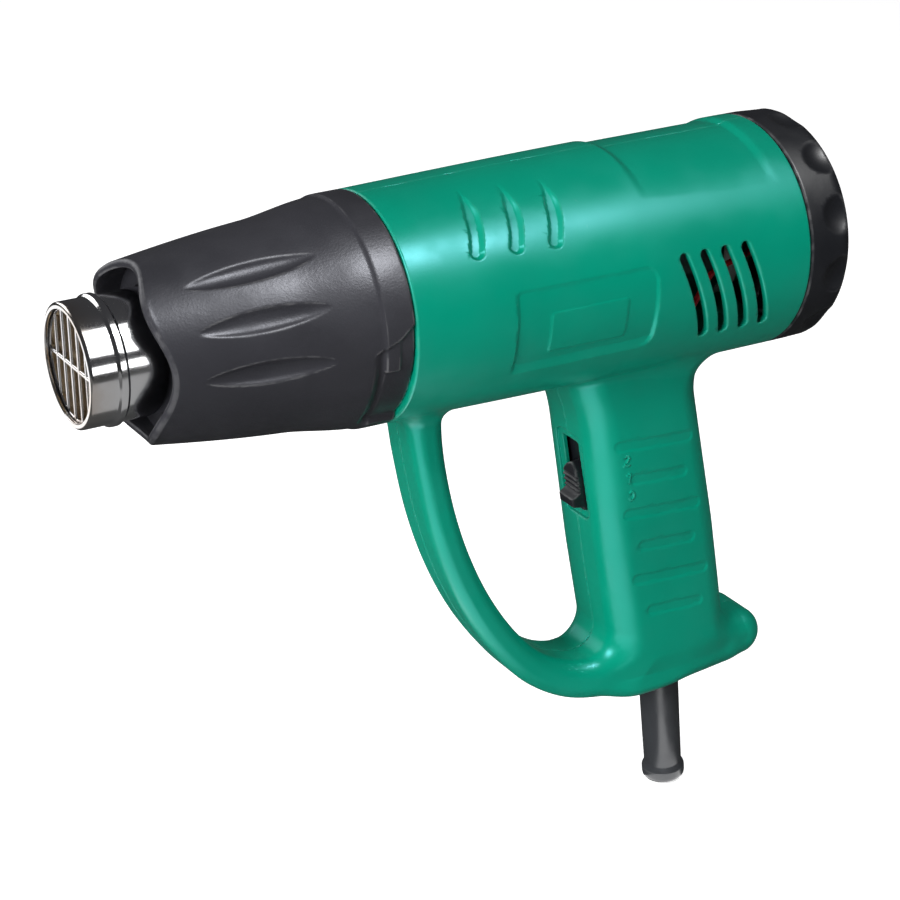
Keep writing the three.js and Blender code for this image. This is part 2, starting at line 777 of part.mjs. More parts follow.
function makeHousing() {
  const outside = joined([barrelBody(), gripBody(0), guardBody(), guardWeb()]);
  const inside = joined([barrelCavity(), gripBody(housingWall, cavitySides), leadChannel()]);
  const sides = [-1, 1];
  const groovePad = joined(
    sides.flatMap((side) => Array.from({ length: gripGrooves }, (_, i) => gripGroove(i, side))),
  ).subtract(gripBody(gripGrooveDepth));
  const relief = [
    saddleCut(),
    groovePad,
    ...sides.map(labelRecess),
    ...sides.flatMap((side) => Array.from({ length: fingerGrooves }, (_, i) => fingerGroove(i, side))),
    ...sides.flatMap((side) => Array.from({ length: vents }, (_, i) => ventSlot(i, side))),
  ];
  const bosses = screwPlaces.map(({ x, z }) => rodAlongY(x, z, bossRadius, -gripWidth, gripWidth));
  const hollow = outside.subtract(inside);
  const filled = joined([hollow, switchBezel(), ...bosses.map((boss) => boss.intersect(outside))]);
  const shell = without(filled, [...relief, ...switchCuts(), ...sleeveCuts()]);
  const far = 400;
  for (const side of sides) {
    const [y0, y1] = sideRange(side, clearance / 2, far);
    const shelves = switchShelves(side).map((shelf) => shelf.intersect(outside));
    let half = joined([shell.intersect(box(-far, far, y0, y1, -far, far)), ...shelves]);
    if (side < 0) {
      const pilots = screwPlaces.map(({ x, z }) => {
        return rodAlongY(x, z, screwRadius + clearance, -screwReach - 1, 1);
      });
      piece("housing_left", without(half, pilots), greenPlastic);
    } else {
      const seats = screwPlaces.flatMap(({ x, z }) => [
        rodAlongY(x, z, screwRadius + clearance, -1, screwSeat + 1),
        rodAlongY(x, z, screwHeadRadius + clearance, screwSeat, barrelRearRadius),
      ]);
      const clampBosses = clampPlaces.map(({ x, z }) => {
        const foot = clampPlane + clampThickness + clearance;
        const boss = rodAlongY(x, z, clampWidth / 2, foot, gripWidth / 2).intersect(outside);
        return boss.subtract(rodAlongY(x, z, screwRadius + clearance, foot - 1, foot + smallScrewLength));
      });
      half = joined([without(half, seats), ...clampBosses]);
      piece("housing_right", half, greenPlastic);
    }
  }
}

// A pan-head screw whose head's underside is at the origin and whose shank points to -Y
function screwShape(length) {
  const head = screwHeadHeight;
  const profile = [
    [-length, 0],
    [screwRadius - length, screwRadius],
    [0, screwRadius],
    [0, screwHeadRadius],
    [head, screwHeadRadius * 0.75],
    [head, 0],
  ];
  const points = profile.map(([y, radius]) => new THREE.Vector2(radius, y));
  const slot = new THREE.BoxGeometry(2 * screwHeadRadius, head, screwRadius / 2).translate(0, head, 0);
  return solid(new THREE.LatheGeometry(points, smallSides)).subtract(solid(slot));
}

function makeScrews() {
  screwPlaces.forEach(({ x, z }, index) => {
    const at = new THREE.Group();
    at.position.set(x, screwSeat + clearance, z);
    tool.add(at);
    piece(`housing_screw_${index + 1}`, screwShape(screwSeat + screwReach), plainSteel, at);
  });
  clampPlaces.forEach(({ x, z }, index) => {
    const at = new THREE.Group();
    at.position.set(x, clampPlane - clearance, z);
    at.rotation.z = Math.PI;
    tool.add(at);
    piece(`clamp_screw_${index + 1}`, screwShape(clampThickness + smallScrewLength), plainSteel, at);
  });
}

function makeRearCap() {
  const bendSteps = 3;
  const bend = Array.from({ length: bendSteps + 1 }, (_, i) => {
    const angle = (Math.PI / 2) * (i / bendSteps);
    const centre = barrelRearRadius - capEdgeRadius;
    return [capEdgeRadius * (Math.cos(angle) - 1), centre + capEdgeRadius * Math.sin(angle)];
  });
  const skirt = rearSpigotRadius + clearance;
  const front = capSeam + clearance;
  const bead = capSeam + beadSetback;
  const bore = barrelRearRadius - capEdgeRadius;
  const spigotEnd = capSeam + spigotLength + clearance;
  const cup = revolve([
    [0, 0],
    ...bend,
    [front + seamChamfer, barrelRearRadius],
    [front, barrelRearRadius - seamChamfer],
    [front, skirt],
    [bead - beadWidth / 2, skirt],
    [bead, skirt - beadHeight],
    [bead + beadWidth / 2, skirt],
    [spigotEnd, skirt],
    [-capWall - 2, bore],
    [-capWall, bore - 2],
    [-capWall, 0],
  ]);
  const cuts = [];
  for (let i = 0; i < capScallops; i++) {
    const turn = new THREE.Matrix4().makeRotationX((2 * Math.PI * i) / capScallops);
    const tilt = degToRad(35);
    const out = barrelRearRadius - capEdgeRadius * (1 - Math.cos(tilt)) + scallopRadius - scallopDepth;
    const ball = new THREE.SphereGeometry(scallopRadius, 10, 5);
    ball.translate(-capEdgeRadius * (1 - Math.sin(tilt)) + 1, 0, out);
    cuts.push(solid(ball, turn));
  }
  for (let i = 0; i < intakeSlots; i++) {
    const turn = new THREE.Matrix4().makeRotationX((2 * Math.PI * (i + 0.5)) / intakeSlots);
    const half = intakeSlotWidth / 2;
    cuts.push(box(-capWall - 1, 1, -half, half, intakeInnerRadius, intakeOuterRadius, turn));
  }
  piece("rear_cap", without(cup, cuts), blackPlastic);
}

function makeHeatShield() {
  const rear = shieldSeam - clearance;
  const step = shieldSeam - shieldCollar;
  const outer = (x) => mapLinear(x, step, shieldMouth, barrelFrontRadius - shieldStep, shieldMouthRadius);
  const skirt = frontSpigotRadius + clearance;
  const bead = shieldSeam - beadSetback;
  const spigotEnd = shieldSeam - spigotLength - clearance;
  const webFront = shieldMouth + webSetback;
  const webRear = webFront + webThickness;
  const webBore = nozzleRadius + webGap;
  const innerRim = shieldMouthRadius - mouthLip;
  const wave = (position) => {
    for (let i = 0; i < position.count; i++) {
      const [x, y, z] = [position.getX(i), position.getY(i), position.getZ(i)];
      const share = clamp((shieldMouth + waveReach - x) / waveReach, 0, 1);
      const onRim = Math.hypot(y, z) > innerRim - 1.2 ? 1 : 0;
      position.setX(i, x + mouthWave * share * onRim * Math.cos(mouthLobes * Math.atan2(y, z)));
    }
  };
  const cone = ring(
    [
      [rear, barrelFrontRadius],
      [step, barrelFrontRadius - shieldStep],
      [lerp(step, shieldMouth, 0.5), outer(lerp(step, shieldMouth, 0.5)) + 0.4],
      [shieldMouth + waveReach, outer(shieldMouth + waveReach)],
      [shieldMouth + 0.8, shieldMouthRadius],
      [shieldMouth, innerRim],
      [webFront, innerRim - 1.5],
      [webFront, webBore],
      [webRear, webBore],
      [webRear, innerRim - 1.5],
      [shieldMouth + waveReach, outer(shieldMouth + waveReach) - shieldWall],
      [spigotEnd - 3, outer(spigotEnd - 3) - shieldWall],
      [spigotEnd, skirt],
      [bead - beadWidth / 2, skirt],
      [bead, skirt - beadHeight],
      [bead + beadWidth / 2, skirt],
      [rear, skirt],
    ],
    shieldSides,
    wave,
  );
  const cuts = [];
  const dimpleX = shieldMouth + dimpleSetback;
  const slope = Math.atan2(outer(dimpleX) - outer(dimpleX - 1), 1);
  for (const side of [-1, 1]) {
    for (let i = 0; i < dimplesPerSide; i++) {
      const angle = degToRad(dimpleFirstAngle + i * dimplePitchAngle);
      const bowl = new THREE.SphereGeometry(1, 10, 4);
      bowl.rotateX(Math.PI / 2).rotateZ(Math.PI / 2);
      bowl.scale(dimpleLength / 2, dimpleWidth / 2, dimpleDepth);
      bowl.rotateY(-slope);
      bowl.translate(dimpleX, 0, outer(dimpleX) + 0.3);
      cuts.push(solid(bowl, new THREE.Matrix4().makeRotationX(-side * angle)));
    }
    const shape = polygon([
      [shieldSeam + 1, notchTop + 4],
      [shieldSeam - notchLength * 0.4, notchTop],
      [shieldSeam - notchLength, notchTop - 3],
      [shieldSeam - notchLength, notchBottom],
      [shieldSeam + 1, notchBottom],
    ]);
    const [y0, y1] = sideRange(side, barrelFrontRadius / 2, barrelFrontRadius + 2);
    const core = revolve([
      [shieldSeam + 5, 0],
      [shieldSeam + 5, barrelFrontRadius - notchDepth],
      [step, barrelFrontRadius - notchDepth - 0.2],
      [shieldSeam - 2 * notchLength, outer(shieldSeam - 2 * notchLength) - notchDepth],
      [shieldSeam - 2 * notchLength, 0],
    ]);
    cuts.push(across(shape, y0, y1).subtract(core));
  }
  piece("heat_shield", without(cone, cuts), greyPlastic);
}

function makeNozzle() {
  const bead = nozzleTip + nozzleBeadSetback;
  const half = nozzleBeadWidth / 2;
  const coneFront = flangeFront - coneLength;
  const lipRadius = nozzleRadius - lipWidth;
  const shell = ring([
    [nozzleTip, lipRadius],
    [nozzleTip, nozzleRadius - 0.5],
    [nozzleTip + 0.5, nozzleRadius],
    [bead - half, nozzleRadius],
    [bead - half / 2, nozzleRadius + nozzleBeadHeight * 0.8],
    [bead, nozzleRadius + nozzleBeadHeight],
    [bead + half / 2, nozzleRadius + nozzleBeadHeight * 0.8],
    [bead + half, nozzleRadius],
    [coneFront, nozzleRadius],
    [flangeFront, coneEndRadius],
    [flangeFront, flangeRadius],
    [flangeRear, flangeRadius],
    [flangeRear, coneEndRadius - nozzleWall],
    [coneFront, tubeInner],
    [nozzleTip + lipThickness, tubeInner],
    [nozzleTip + lipThickness, lipRadius],
  ], nozzleSides);
  piece("nozzle_tube", shell, polishedSteel);

  const rim = tubeInner - clearance;
  const disc = rodAlongX(grilleFront, grilleRear, rim, 0, 0, innerSides);
  const bars = [box(grilleFront, grilleRear, -rim, rim, -grilleBarWidth / 2, grilleBarWidth / 2)];
  for (let i = 0; i < grilleBars; i++) {
    const y = (i - (grilleBars - 1) / 2) * grillePitch;
    bars.push(box(grilleFront, grilleRear, y - grilleBarWidth / 2, y + grilleBarWidth / 2, -rim, rim));
  }
  const hole = rodAlongX(grilleFront - 1, grilleRear + 1, rim - grilleRim, 0, 0, innerSides);
  piece("nozzle_grille", disc.subtract(hole).add(joined(bars).intersect(disc)), darkSteel);
}

// Centre line of the heating coil: a straight tail from the base, then the turns
function coilPath() {
  const points = [];
  const tailEnd = formerRear - coilTail;
  const front = formerFront + 6;
  for (let i = 0; i <= 3; i++) {
    points.push(new THREE.Vector3(lerp(formerRear, tailEnd + 4, i / 3), 0, coilRadius));
  }
  for (let i = 0; i <= coilTurns * coilSteps; i++) {
    const turn = (2 * Math.PI * i) / coilSteps;
    const x = lerp(tailEnd, front, i / (coilTurns * coilSteps));
    points.push(new THREE.Vector3(x, coilRadius * Math.sin(turn), coilRadius * Math.cos(turn)));
  }
  return points;
}

function leastGap(points, diameter, skip) {
  let least = Infinity;
  points.forEach((point, i) => {
    for (let j = i + skip; j < points.length; j++) least = Math.min(least, point.distanceTo(points[j]));
  });
  return least - diameter;
}

function makeHeater() {
  const rim = ring([
    [baseFront, flangeRadius],
    [baseRear, flangeRadius],
    [baseRear, flangeRadius - heaterBaseRim],
    [baseFront, flangeRadius - heaterBaseRim],
  ], innerSides);
  const hub = rodAlongX(baseFront, baseRear, heaterHubRadius, 0, 0, smallSides);
  const reach = flangeRadius - 1;
  const half = heaterSpokeWidth / 2;
  const spokes = Array.from({ length: heaterSpokes / 2 }, (_, i) => {
    const turn = new THREE.Matrix4().makeRotationX((Math.PI * i * 2) / heaterSpokes);
    return box(baseFront, baseRear, -half, half, -reach, reach, turn);
  });
  const bore = rodAlongX(baseFront - 1, baseRear + 1, heaterHubBore);
  piece("heater_base", joined([rim, hub, ...spokes]).subtract(bore), ceramic);

  const arm = coilRadius * Math.cos(Math.PI / coilSteps) - coilWire / 2 - clearance;
  const thin = formerThickness / 2;
  const former = box(formerFront, formerRear, -arm, arm, -thin, thin);
  piece("heater_former", former.add(box(formerFront, formerRear, -thin, thin, -arm, arm)), mica);

  const path = coilPath();
  const gap = leastGap(path, coilWire, coilSteps - 2);
  console.log("heating coil, least gap between turns", gap.toFixed(2), "mm");
  piece("heating_coil", tube(path, coilWire / 2, 6, coilTurns * coilSteps + 4), heaterWire);

  const sleeveOuter = tubeInner - clearance;
  const sleeveRear = flangeFront - coneLength;
  const sleeve = ring([
    [formerFront, sleeveOuter],
    [sleeveRear, sleeveOuter],
    [sleeveRear, sleeveOuter - micaThickness],
    [formerFront, sleeveOuter - micaThickness],
  ], innerSides);
  piece("mica_sleeve", sleeve, mica);

  const cutoutRear = baseRear + clearance + cutoutThickness;
  const body = rodAlongX(baseRear + clearance, cutoutRear, cutoutRadius, 0, cutoutHeight);
  const tabHalf = cutoutRadius + cutoutTab;
  const tab = box(cutoutRear - 1, cutoutRear, -tabHalf, tabHalf, cutoutHeight - 1.5, cutoutHeight + 1.5);
  piece("thermal_cutout", body.add(tab), plainSteel);
}

// Outline of a slice of a ring, seen along X: first axis left to right, second up
function ringSlice(inner, outer, middle, spread) {
  const shape = new THREE.Shape();
  const [from, to] = [degToRad(middle - spread / 2), degToRad(middle + spread / 2)];
  shape.absarc(0, 0, outer, from, to, false);
  shape.absarc(0, 0, inner, to, from, true);
  return shape;
}

function alongX(shape, x0, x1, curveSegments = 5) {
  const bar = new THREE.ExtrudeGeometry(shape, { depth: x1 - x0, bevelEnabled: false, curveSegments });
  bar.rotateX(Math.PI / 2).rotateZ(Math.PI / 2).translate(x0, 0, 0);
  return solid(bar);
}

function makeMotor() {
  const inner = motorRadius - motorWall;
  const seat = bushRadius + clearance;
  const can = ring([
    [canRear, motorRadius],
    [canFront + 1, motorRadius],
    [canFront, motorRadius - 1],
    [canFront, seat],
    [canFront + bushLength, seat],
    [canFront + bushLength, seat + motorWall],
    [canFront + motorWall, seat + motorWall],
    [canFront + motorWall, inner],
    [canRear, inner],
  ], innerSides);
  const screwHoles = [-1, 1].map((side) => {
    const far = canFront + motorWall + 1;
    return rodAlongX(canFront - 1, far, screwRadius + clearance, side * motorScrewOffset);
  });
  piece("motor_can", without(can, screwHoles), plainSteel);

  const magnetMiddle = (canFront + canRear) / 2 - 3;
  const magnetFront = magnetMiddle - magnetLength / 2;
  const magnetOuter = inner * flatShare - clearance;
  const magnetInner = magnetOuter - magnetThickness;
  for (const [name, middle] of [["magnet_upper", 90], ["magnet_lower", 270]]) {
    const slice = ringSlice(magnetInner, magnetOuter, middle, magnetAngle);
    piece(name, alongX(slice, magnetFront, magnetFront + magnetLength), ferrite);
  }

  const coreRadius = magnetInner - armatureGap;
  const coreFront = magnetMiddle - armatureLength / 2;
  const coreRear = coreFront + armatureLength;
  const bore = rodAlongX(coreFront - 1, coreRear + 1, shaftRadius + clearance);
  const slots = Array.from({ length: armaturePoles }, (_, i) => {
    const turn = new THREE.Matrix4().makeRotationX((2 * Math.PI * i) / armaturePoles);
    return box(coreFront - 1, coreRear + 1, -poleSlot / 2, poleSlot / 2, poleRoot, coreRadius + 1, turn);
  });
  const stack = rodAlongX(coreFront, coreRear, coreRadius, 0, 0, innerSides);
  piece("armature_core", without(stack, [bore, ...slots]), darkSteel);

  const commutatorFront = coreRear + 1;
  const commutator = ring(
    [
      [commutatorFront, commutatorRadius],
      [commutatorFront + commutatorLength, commutatorRadius],
      [commutatorFront + commutatorLength, shaftRadius + clearance],
      [commutatorFront, shaftRadius + clearance],
    ],
    smallSides,
  );
  piece("commutator", commutator, copper);

  const bushRing = (front) =>
    ring(
      [
        [front, bushRadius],
        [front + bushLength, bushRadius],
        [front + bushLength, shaftRadius + clearance],
        [front, shaftRadius + clearance],
      ],
      smallSides,
    );
  piece("front_bush", bushRing(canFront), brass);
  const rearBushFront = endCapRear - bushLength;
  piece("rear_bush", bushRing(rearBushFront), brass);

  const shaftFront = fanFront + 2;
  piece("motor_shaft", rodAlongX(shaftFront, endCapRear - 1, shaftRadius), polishedSteel);

  const cap = ring([
    [endCapFront, motorRadius],
    [endCapRear - 1, motorRadius],
    [endCapRear, motorRadius - 1],
    [endCapRear, seat],
    [rearBushFront, seat],
    [rearBushFront - clearance, seat],
    [rearBushFront - clearance, seat + motorWall],
    [endCapRear - motorWall, seat + motorWall],
    [endCapRear - motorWall, inner],
    [endCapFront, inner],
  ], innerSides);
  const posts = [-1, 1].map((side) => {
    return rodAlongX(endCapRear - 1, boardFront - clearance, postRadius, (side * postSpacing) / 2);
  });
  const brushMiddle = commutatorFront + commutatorLength / 2;
  const guides = [-1, 1].map((side) => {
    const from = commutatorRadius + 1.5;
    const [z0, z1] = sideRange(side, from, inner + 0.5);
    const [b0, b1] = sideRange(side, from - 1, inner - 2);
    const halfGuide = brushWidth / 2 + 1.4;
    const halfBrush = brushWidth / 2 + clearance;
    const frontFace = brushMiddle - halfGuide;
    const block = box(frontFace, endCapRear - 1, -halfGuide, halfGuide, z0, z1);
    const way = box(brushMiddle - halfBrush, brushMiddle + halfBrush, -halfBrush, halfBrush, b0, b1);
    return block.subtract(way);
  });
  const canLip = rodAlongX(canFront, endCapFront, motorRadius + 1, 0, 0, innerSides);
  const hollowRadius = inner * flatShare - clearance;
  const canHollow = rodAlongX(canFront - 1, endCapFront + 1, hollowRadius, 0, 0, innerSides);
  const guidesTrimmed = joined(guides).subtract(canLip.subtract(canHollow));
  piece("motor_end_cap", joined([cap, guidesTrimmed, ...posts]), whiteNylon);

  for (const [name, side] of [["brush_upper", 1], ["brush_lower", -1]]) {
    const face = commutatorRadius + clearance;
    const [z0, z1] = sideRange(side, face, face + brushLength);
    const half = brushWidth / 2;
    piece(name, box(brushMiddle - half, brushMiddle + half, -half, half, z0, z1), ferrite);
  }

  const board = rodAlongX(boardFront, boardRear, boardRadius, 0, 0, innerSides);
  const halfBridge = bridgeSize / 2;
  const bridgeTop = bridgeSize - bridgeDrop;
  const bridgeRear = boardRear + bridgeThickness;
  const bridge = box(boardRear - bridgeSink, bridgeRear, -halfBridge, halfBridge, -bridgeDrop, bridgeTop);
  piece("rectifier_board", board.add(bridge), boardGreen);
}

// One fan blade: thin slices turned to their pitch, from inside the hub out to the tip
function fanBlade(angle) {
  const middle = (fanFront + fanRear) / 2;
  const tipHalf = (bladeTipChord * Math.cos(degToRad(bladeTipPitch))) / 2;
  const tip = Math.sqrt(fanRadius ** 2 - tipHalf ** 2);
  const rings = [0, 0.5, 1].map((share) => {
    const reach = lerp(fanHubRadius - 1.5, tip, share);
    const chord = lerp(bladeRootChord, bladeTipChord, share);
    const pitch = degToRad(lerp(bladeRootPitch, bladeTipPitch, share));
    const camber = 0.06 * chord;
    const thin = bladeThickness / 2;
    const section = [
      [-0.5, 0],
      [-0.2, camber + thin],
      [0.2, camber + thin],
      [0.5, 0],
      [0.2, camber - thin],
      [-0.2, camber - thin],
    ];
    return section.map(([place, off]) => {
      const along = place * chord;
      const x = middle + along * Math.sin(pitch) + off * Math.cos(pitch);
      const y = along * Math.cos(pitch) - off * Math.sin(pitch);
      return new THREE.Vector3(x, y, reach);
    });
  });
  return loft(rings, new THREE.Matrix4().makeRotationX(angle));
}

function makeBlower() {
  const hub = ring(
    [
      [fanFront, shaftRadius + clearance],
      [fanFront, fanHubRadius - 3],
      [fanFront + 2.5, fanHubRadius - 0.5],
      [fanFront + 5, fanHubRadius],
      [fanRear, fanHubRadius],
      [fanRear, shaftRadius + clearance],
    ],
    innerSides,
  );
  const blades = Array.from({ length: fanBlades }, (_, i) => fanBlade((2 * Math.PI * i) / fanBlades));
  const bore = rodAlongX(fanFront - 1, fanRear + 1, shaftRadius + clearance);
  piece("fan", joined([hub, ...blades]).subtract(bore), blackPlastic);

  const wall = ring([
    [ringFront, ringOuter(ringFront)],
    [ringRear, ringOuter(ringRear)],
    [ringRear, ringInner],
    [ringFront, ringInner],
  ], innerSides);
  const plate = rodAlongX(plateFront, plateRear, plateRadius, 0, 0, innerSides);
  const spokeMiddle = (plateFront + plateRear) / 2;
  const spokes = Array.from({ length: ringSpokes }, (_, i) => {
    const turn = new THREE.Matrix4().makeRotationX((2 * Math.PI * (i + 0.5)) / ringSpokes);
    const twist = new THREE.Matrix4().makeRotationZ(degToRad(spokePitch)).setPosition(spokeMiddle, 0, 0);
    const half = spokeThickness / 2;
    const from = motorRadius + clearance;
    const reach = ringInner + ringWall / 2;
    const leaning = turn.clone().multiply(twist);
    const arm = box(-spokeLength / 2, spokeLength / 2, -half, half, from, reach, leaning);
    const foot = box(plateFront, plateRear, -2, 2, plateRadius - 2, from + 2, turn);
    return arm.add(foot);
  });
  const hole = rodAlongX(plateFront - 1, plateRear + 1, shaftRadius + 2);
  const screwHoles = [-1, 1].map((side) => {
    return rodAlongX(plateFront - 1, plateRear + 1, screwRadius + clearance, side * motorScrewOffset);
  });
  const half = leadRadius + clearance;
  const top = leadGrooveDepth - ringOuter(ringFront);
  const groove = box(ringFront - 1, ringRear + 1, -half, half, -ringOuter(ringRear) - 1, top);
  piece("fan_ring", without(joined([wall, plate, ...spokes]), [hole, ...screwHoles, groove]), blackPlastic);

  [-1, 1].forEach((side, index) => {
    const at = new THREE.Group();
    at.position.set(plateFront - clearance, side * motorScrewOffset, 0);
    at.rotation.z = Math.PI / 2;
    tool.add(at);
    piece(`motor_screw_${index + 1}`, screwShape(plateThickness + motorWall + 1), plainSteel, at);
  });
}

function makeSwitch() {
  const grip = new THREE.Group();
  grip.position.x = gripTop;
  grip.rotation.y = -degToRad(gripLean);
  tool.add(grip);

  const thumbLow = slotLow + slotMargin;
  const thumbHigh = thumbLow + thumbLength;
  const face = gripFront - thumbRise;
  const nose = gripFront - thumbNose;
  const outline = [
    [shutterFront + 0.5, thumbHigh],
    [face + 0.8, thumbHigh],
  ];
  const ribStart = thumbLow + thumbLength * 0.42;
  const ribPitch = (thumbHigh - ribStart) / thumbRibs;
  for (let i = thumbRibs - 1; i >= 0; i--) {
    const low = ribStart + i * ribPitch;
    outline.push([face, low + ribPitch * 0.85], [face, low + ribPitch * 0.45]);
    outline.push([face + 0.8, low + ribPitch * 0.3], [face + 0.8, low]);
  }
  outline.push([nose + 0.8, ribStart - 1], [nose, ribStart - 2]);
  outline.push([nose, thumbLow + 2.4], [nose + 1, thumbLow + 1.2]);
  outline.push([face, thumbLow], [shutterFront + 0.5, thumbLow]);
  const thumb = across(polygon(outline), -thumbWidth / 2, thumbWidth / 2);
  const shutter = box(shutterFront, shutterBack, -shutterHalf, shutterHalf, shutterLow, shutterHigh);
  const stemMiddle = (thumbLow + thumbHigh) / 2;
  const stemHalf = stemSize / 2;
  const stemTip = shutterBack + stemLength;
  const stemLow = stemMiddle - stemHalf;
  const stem = box(shutterBack - 0.5, stemTip, -stemHalf, stemHalf, stemLow, stemLow + stemSize);
  piece("switch_slider", joined([thumb, shutter, stem]), blackPlastic, grip);

  const way = stemHalf + clearance;
  const wayHigh = stemMiddle + way + switchTravel;
  const channel = box(switchFront - 1, stemTip + clearance, -way, way, stemMiddle - way, wayHigh);
  const half = switchWidth / 2;
  const block = box(switchFront, switchFront + switchDepth, -half, half, slotLow - 1, slotHigh + 1);
  const tabs = [-1, 1].map((side) => {
    const [y0, y1] = sideRange(side, 2.5, 5.5);
    const front = switchFront + switchDepth - tabInset;
    return box(front, front + 1, y0, y1, slotHigh, slotHigh + tabLength);
  });
  const grooves = [slotLow + 3, slotHigh - 3].flatMap((level) =>
    [-1, 1].map((side) => {
      const [y0, y1] = sideRange(side, half - 1.5, half + 1);
      return box(switchFront - 1, switchFront + 3, y0, y1, level, level + shelfThickness);
    }),
  );
  piece("switch_body", without(joined([block, ...tabs]), [channel, ...grooves]), ferrite, grip);
}

function makeCordSleeve() {
  const at = new THREE.Group();
  at.position.set(sleeveX, 0, footUnderside);
  at.rotation.y = -degToRad(sleeveLean);
  tool.add(at);
  const seat = sleeveSeat + clearance;
  const end = -sleeveLength;
  const collar = end + sleeveCollarLength;
  const profile = [
    [seat + sleeveFlangeThickness, sleeveBore],
    [seat + sleeveFlangeThickness, sleeveFlangeRadius],
    [seat, sleeveFlangeRadius],
    [seat, sleeveTopRadius],
    [0, sleeveTopRadius],
    [collar + 1.5, sleeveEndRadius],
    [collar, sleeveCollarRadius],
    [end + 1, sleeveCollarRadius],
    [end, sleeveCollarRadius - 1],
    [end, sleeveBore + 0.6],
    [end + 0.8, sleeveBore],
    [seat + sleeveFlangeThickness, sleeveBore],
  ];
  const points = profile.map(([z, radius]) => new THREE.Vector2(radius, z));
  piece("cord_sleeve", solid(new THREE.LatheGeometry(points, innerSides).rotateX(Math.PI / 2)), rubber, at);

  const grip = new THREE.Group();
  grip.position.x = gripTop;
  grip.rotation.y = -degToRad(gripLean);
  tool.add(grip);
  const half = clampWidth / 2;
  const reach = clampLength / 2;
  const back = clampPlane + clampThickness;
  const bar = box(-reach, reach, clampPlane, back, -clampHeight - half, half - clampHeight);
  const holes = [-1, 1].map((side) => {
    return rodAlongY((side * clampSpacing) / 2, -clampHeight, screwRadius + clearance, 0, back + 1);
  });
  piece("cord_clamp", without(bar, holes), whiteNylon, grip);
}

// Leads: red from the switch past the vents to the board, blue from the switch to the heater
function makeLeads() {
  const tabs = slotHigh + tabLength + leadRadius - clearance;
  const tabBack = switchFront + switchDepth - tabInset + 0.5;
  const channel = leadRadius + 0.25 - ringOuter(ringFront);
  const roof = -barrelRearRadius;
  const wayRound = motorRadius + 4 * leadRadius;
  const red = [
    gripPoint(tabBack, tabs, -4),
    gripPoint(tabBack, tabs + 5, -5),
    new THREE.Vector3(gripTop + 11.4, -8, roof),
    new THREE.Vector3(gripTop + 12.4, 0.6 - wayRound * 0.62, -wayRound * 1.32),
    new THREE.Vector3(gripTop + 14.4, 1 - wayRound, -wayRound * 0.86),
    new THREE.Vector3(gripTop + 16.4, -wayRound - 4, -wayRound * 0.41),
    new THREE.Vector3(gripTop + 22.4, -wayRound - 3, -2),
    new THREE.Vector3(boardFront - 5, 1 - wayRound, 0),
    new THREE.Vector3(boardFront + 0.5, -boardRadius - leadRadius - clearance, 0),
  ];
  piece("red_lead", tube(red, leadRadius, 6, 18), redPvc);
  const blue = [
    gripPoint(tabBack, tabs, 4 * leadRadius),
    gripPoint(tabBack, tabs + 4 * leadRadius, 3.6 * leadRadius),
    new THREE.Vector3(gripTop + 2.4 * leadRadius, 2.5 * leadRadius, roof - 1.5 * leadRadius),
    new THREE.Vector3(gripTop - 2.6 * leadRadius, leadRadius / 2, roof + 3.5 * leadRadius),
    new THREE.Vector3(ringRear + 3, 0, channel - 0.2),
    new THREE.Vector3(ringRear - 2, 0, channel),
    new THREE.Vector3(lerp(ringRear, ringFront, 0.5), 0, channel),
    new THREE.Vector3(ringFront - 2, 0, channel),
    new THREE.Vector3(lerp(ringFront, baseRear, 0.6), 0, channel + 2.5),
    new THREE.Vector3(baseRear + 2, 0, 2 - flangeRadius + leadRadius),
    new THREE.Vector3(baseRear + clearance, 0, 2 - flangeRadius + leadRadius),
  ];
  piece("blue_lead", tube(blue, leadRadius, 6, 22), bluePvc);
}

makeHousing();
makeScrews();
makeRearCap();
makeHeatShield();
makeNozzle();
makeHeater();
makeMotor();
makeBlower();
makeSwitch();
makeCordSleeve();
makeLeads();

export default tool;
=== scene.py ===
"""A hot air tool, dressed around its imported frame: housing, heat shield, nozzle, switch and sleeve."""

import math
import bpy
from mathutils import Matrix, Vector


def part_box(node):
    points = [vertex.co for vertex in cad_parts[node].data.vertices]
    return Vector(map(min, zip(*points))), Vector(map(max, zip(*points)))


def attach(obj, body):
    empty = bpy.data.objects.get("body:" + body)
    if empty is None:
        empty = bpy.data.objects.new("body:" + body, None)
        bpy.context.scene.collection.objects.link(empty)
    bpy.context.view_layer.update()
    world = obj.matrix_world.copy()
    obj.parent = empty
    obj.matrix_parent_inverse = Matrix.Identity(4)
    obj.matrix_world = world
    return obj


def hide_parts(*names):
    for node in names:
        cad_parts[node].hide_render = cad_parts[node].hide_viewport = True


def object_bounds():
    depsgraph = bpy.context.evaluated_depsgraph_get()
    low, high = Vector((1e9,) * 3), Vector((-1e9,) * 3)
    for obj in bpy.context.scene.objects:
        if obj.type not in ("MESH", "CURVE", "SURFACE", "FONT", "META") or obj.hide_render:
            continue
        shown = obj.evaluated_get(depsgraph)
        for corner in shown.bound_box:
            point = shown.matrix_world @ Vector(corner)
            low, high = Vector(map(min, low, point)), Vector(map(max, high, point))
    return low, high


bl_info = {
    "name": "Hot air tool",
    "version": (1, 0, 0),
    "blender": (4, 5, 0),
    "location": "View3D > Sidebar > Hot air tool",
    "description": "Builds the visible pieces of a hot air tool around its packed frame",
    "category": "Object",
}

import bpy
import numpy as np
import openvdb
from bpy.props import FloatProperty, FloatVectorProperty, IntProperty, PointerProperty
from mathutils import Matrix, Vector

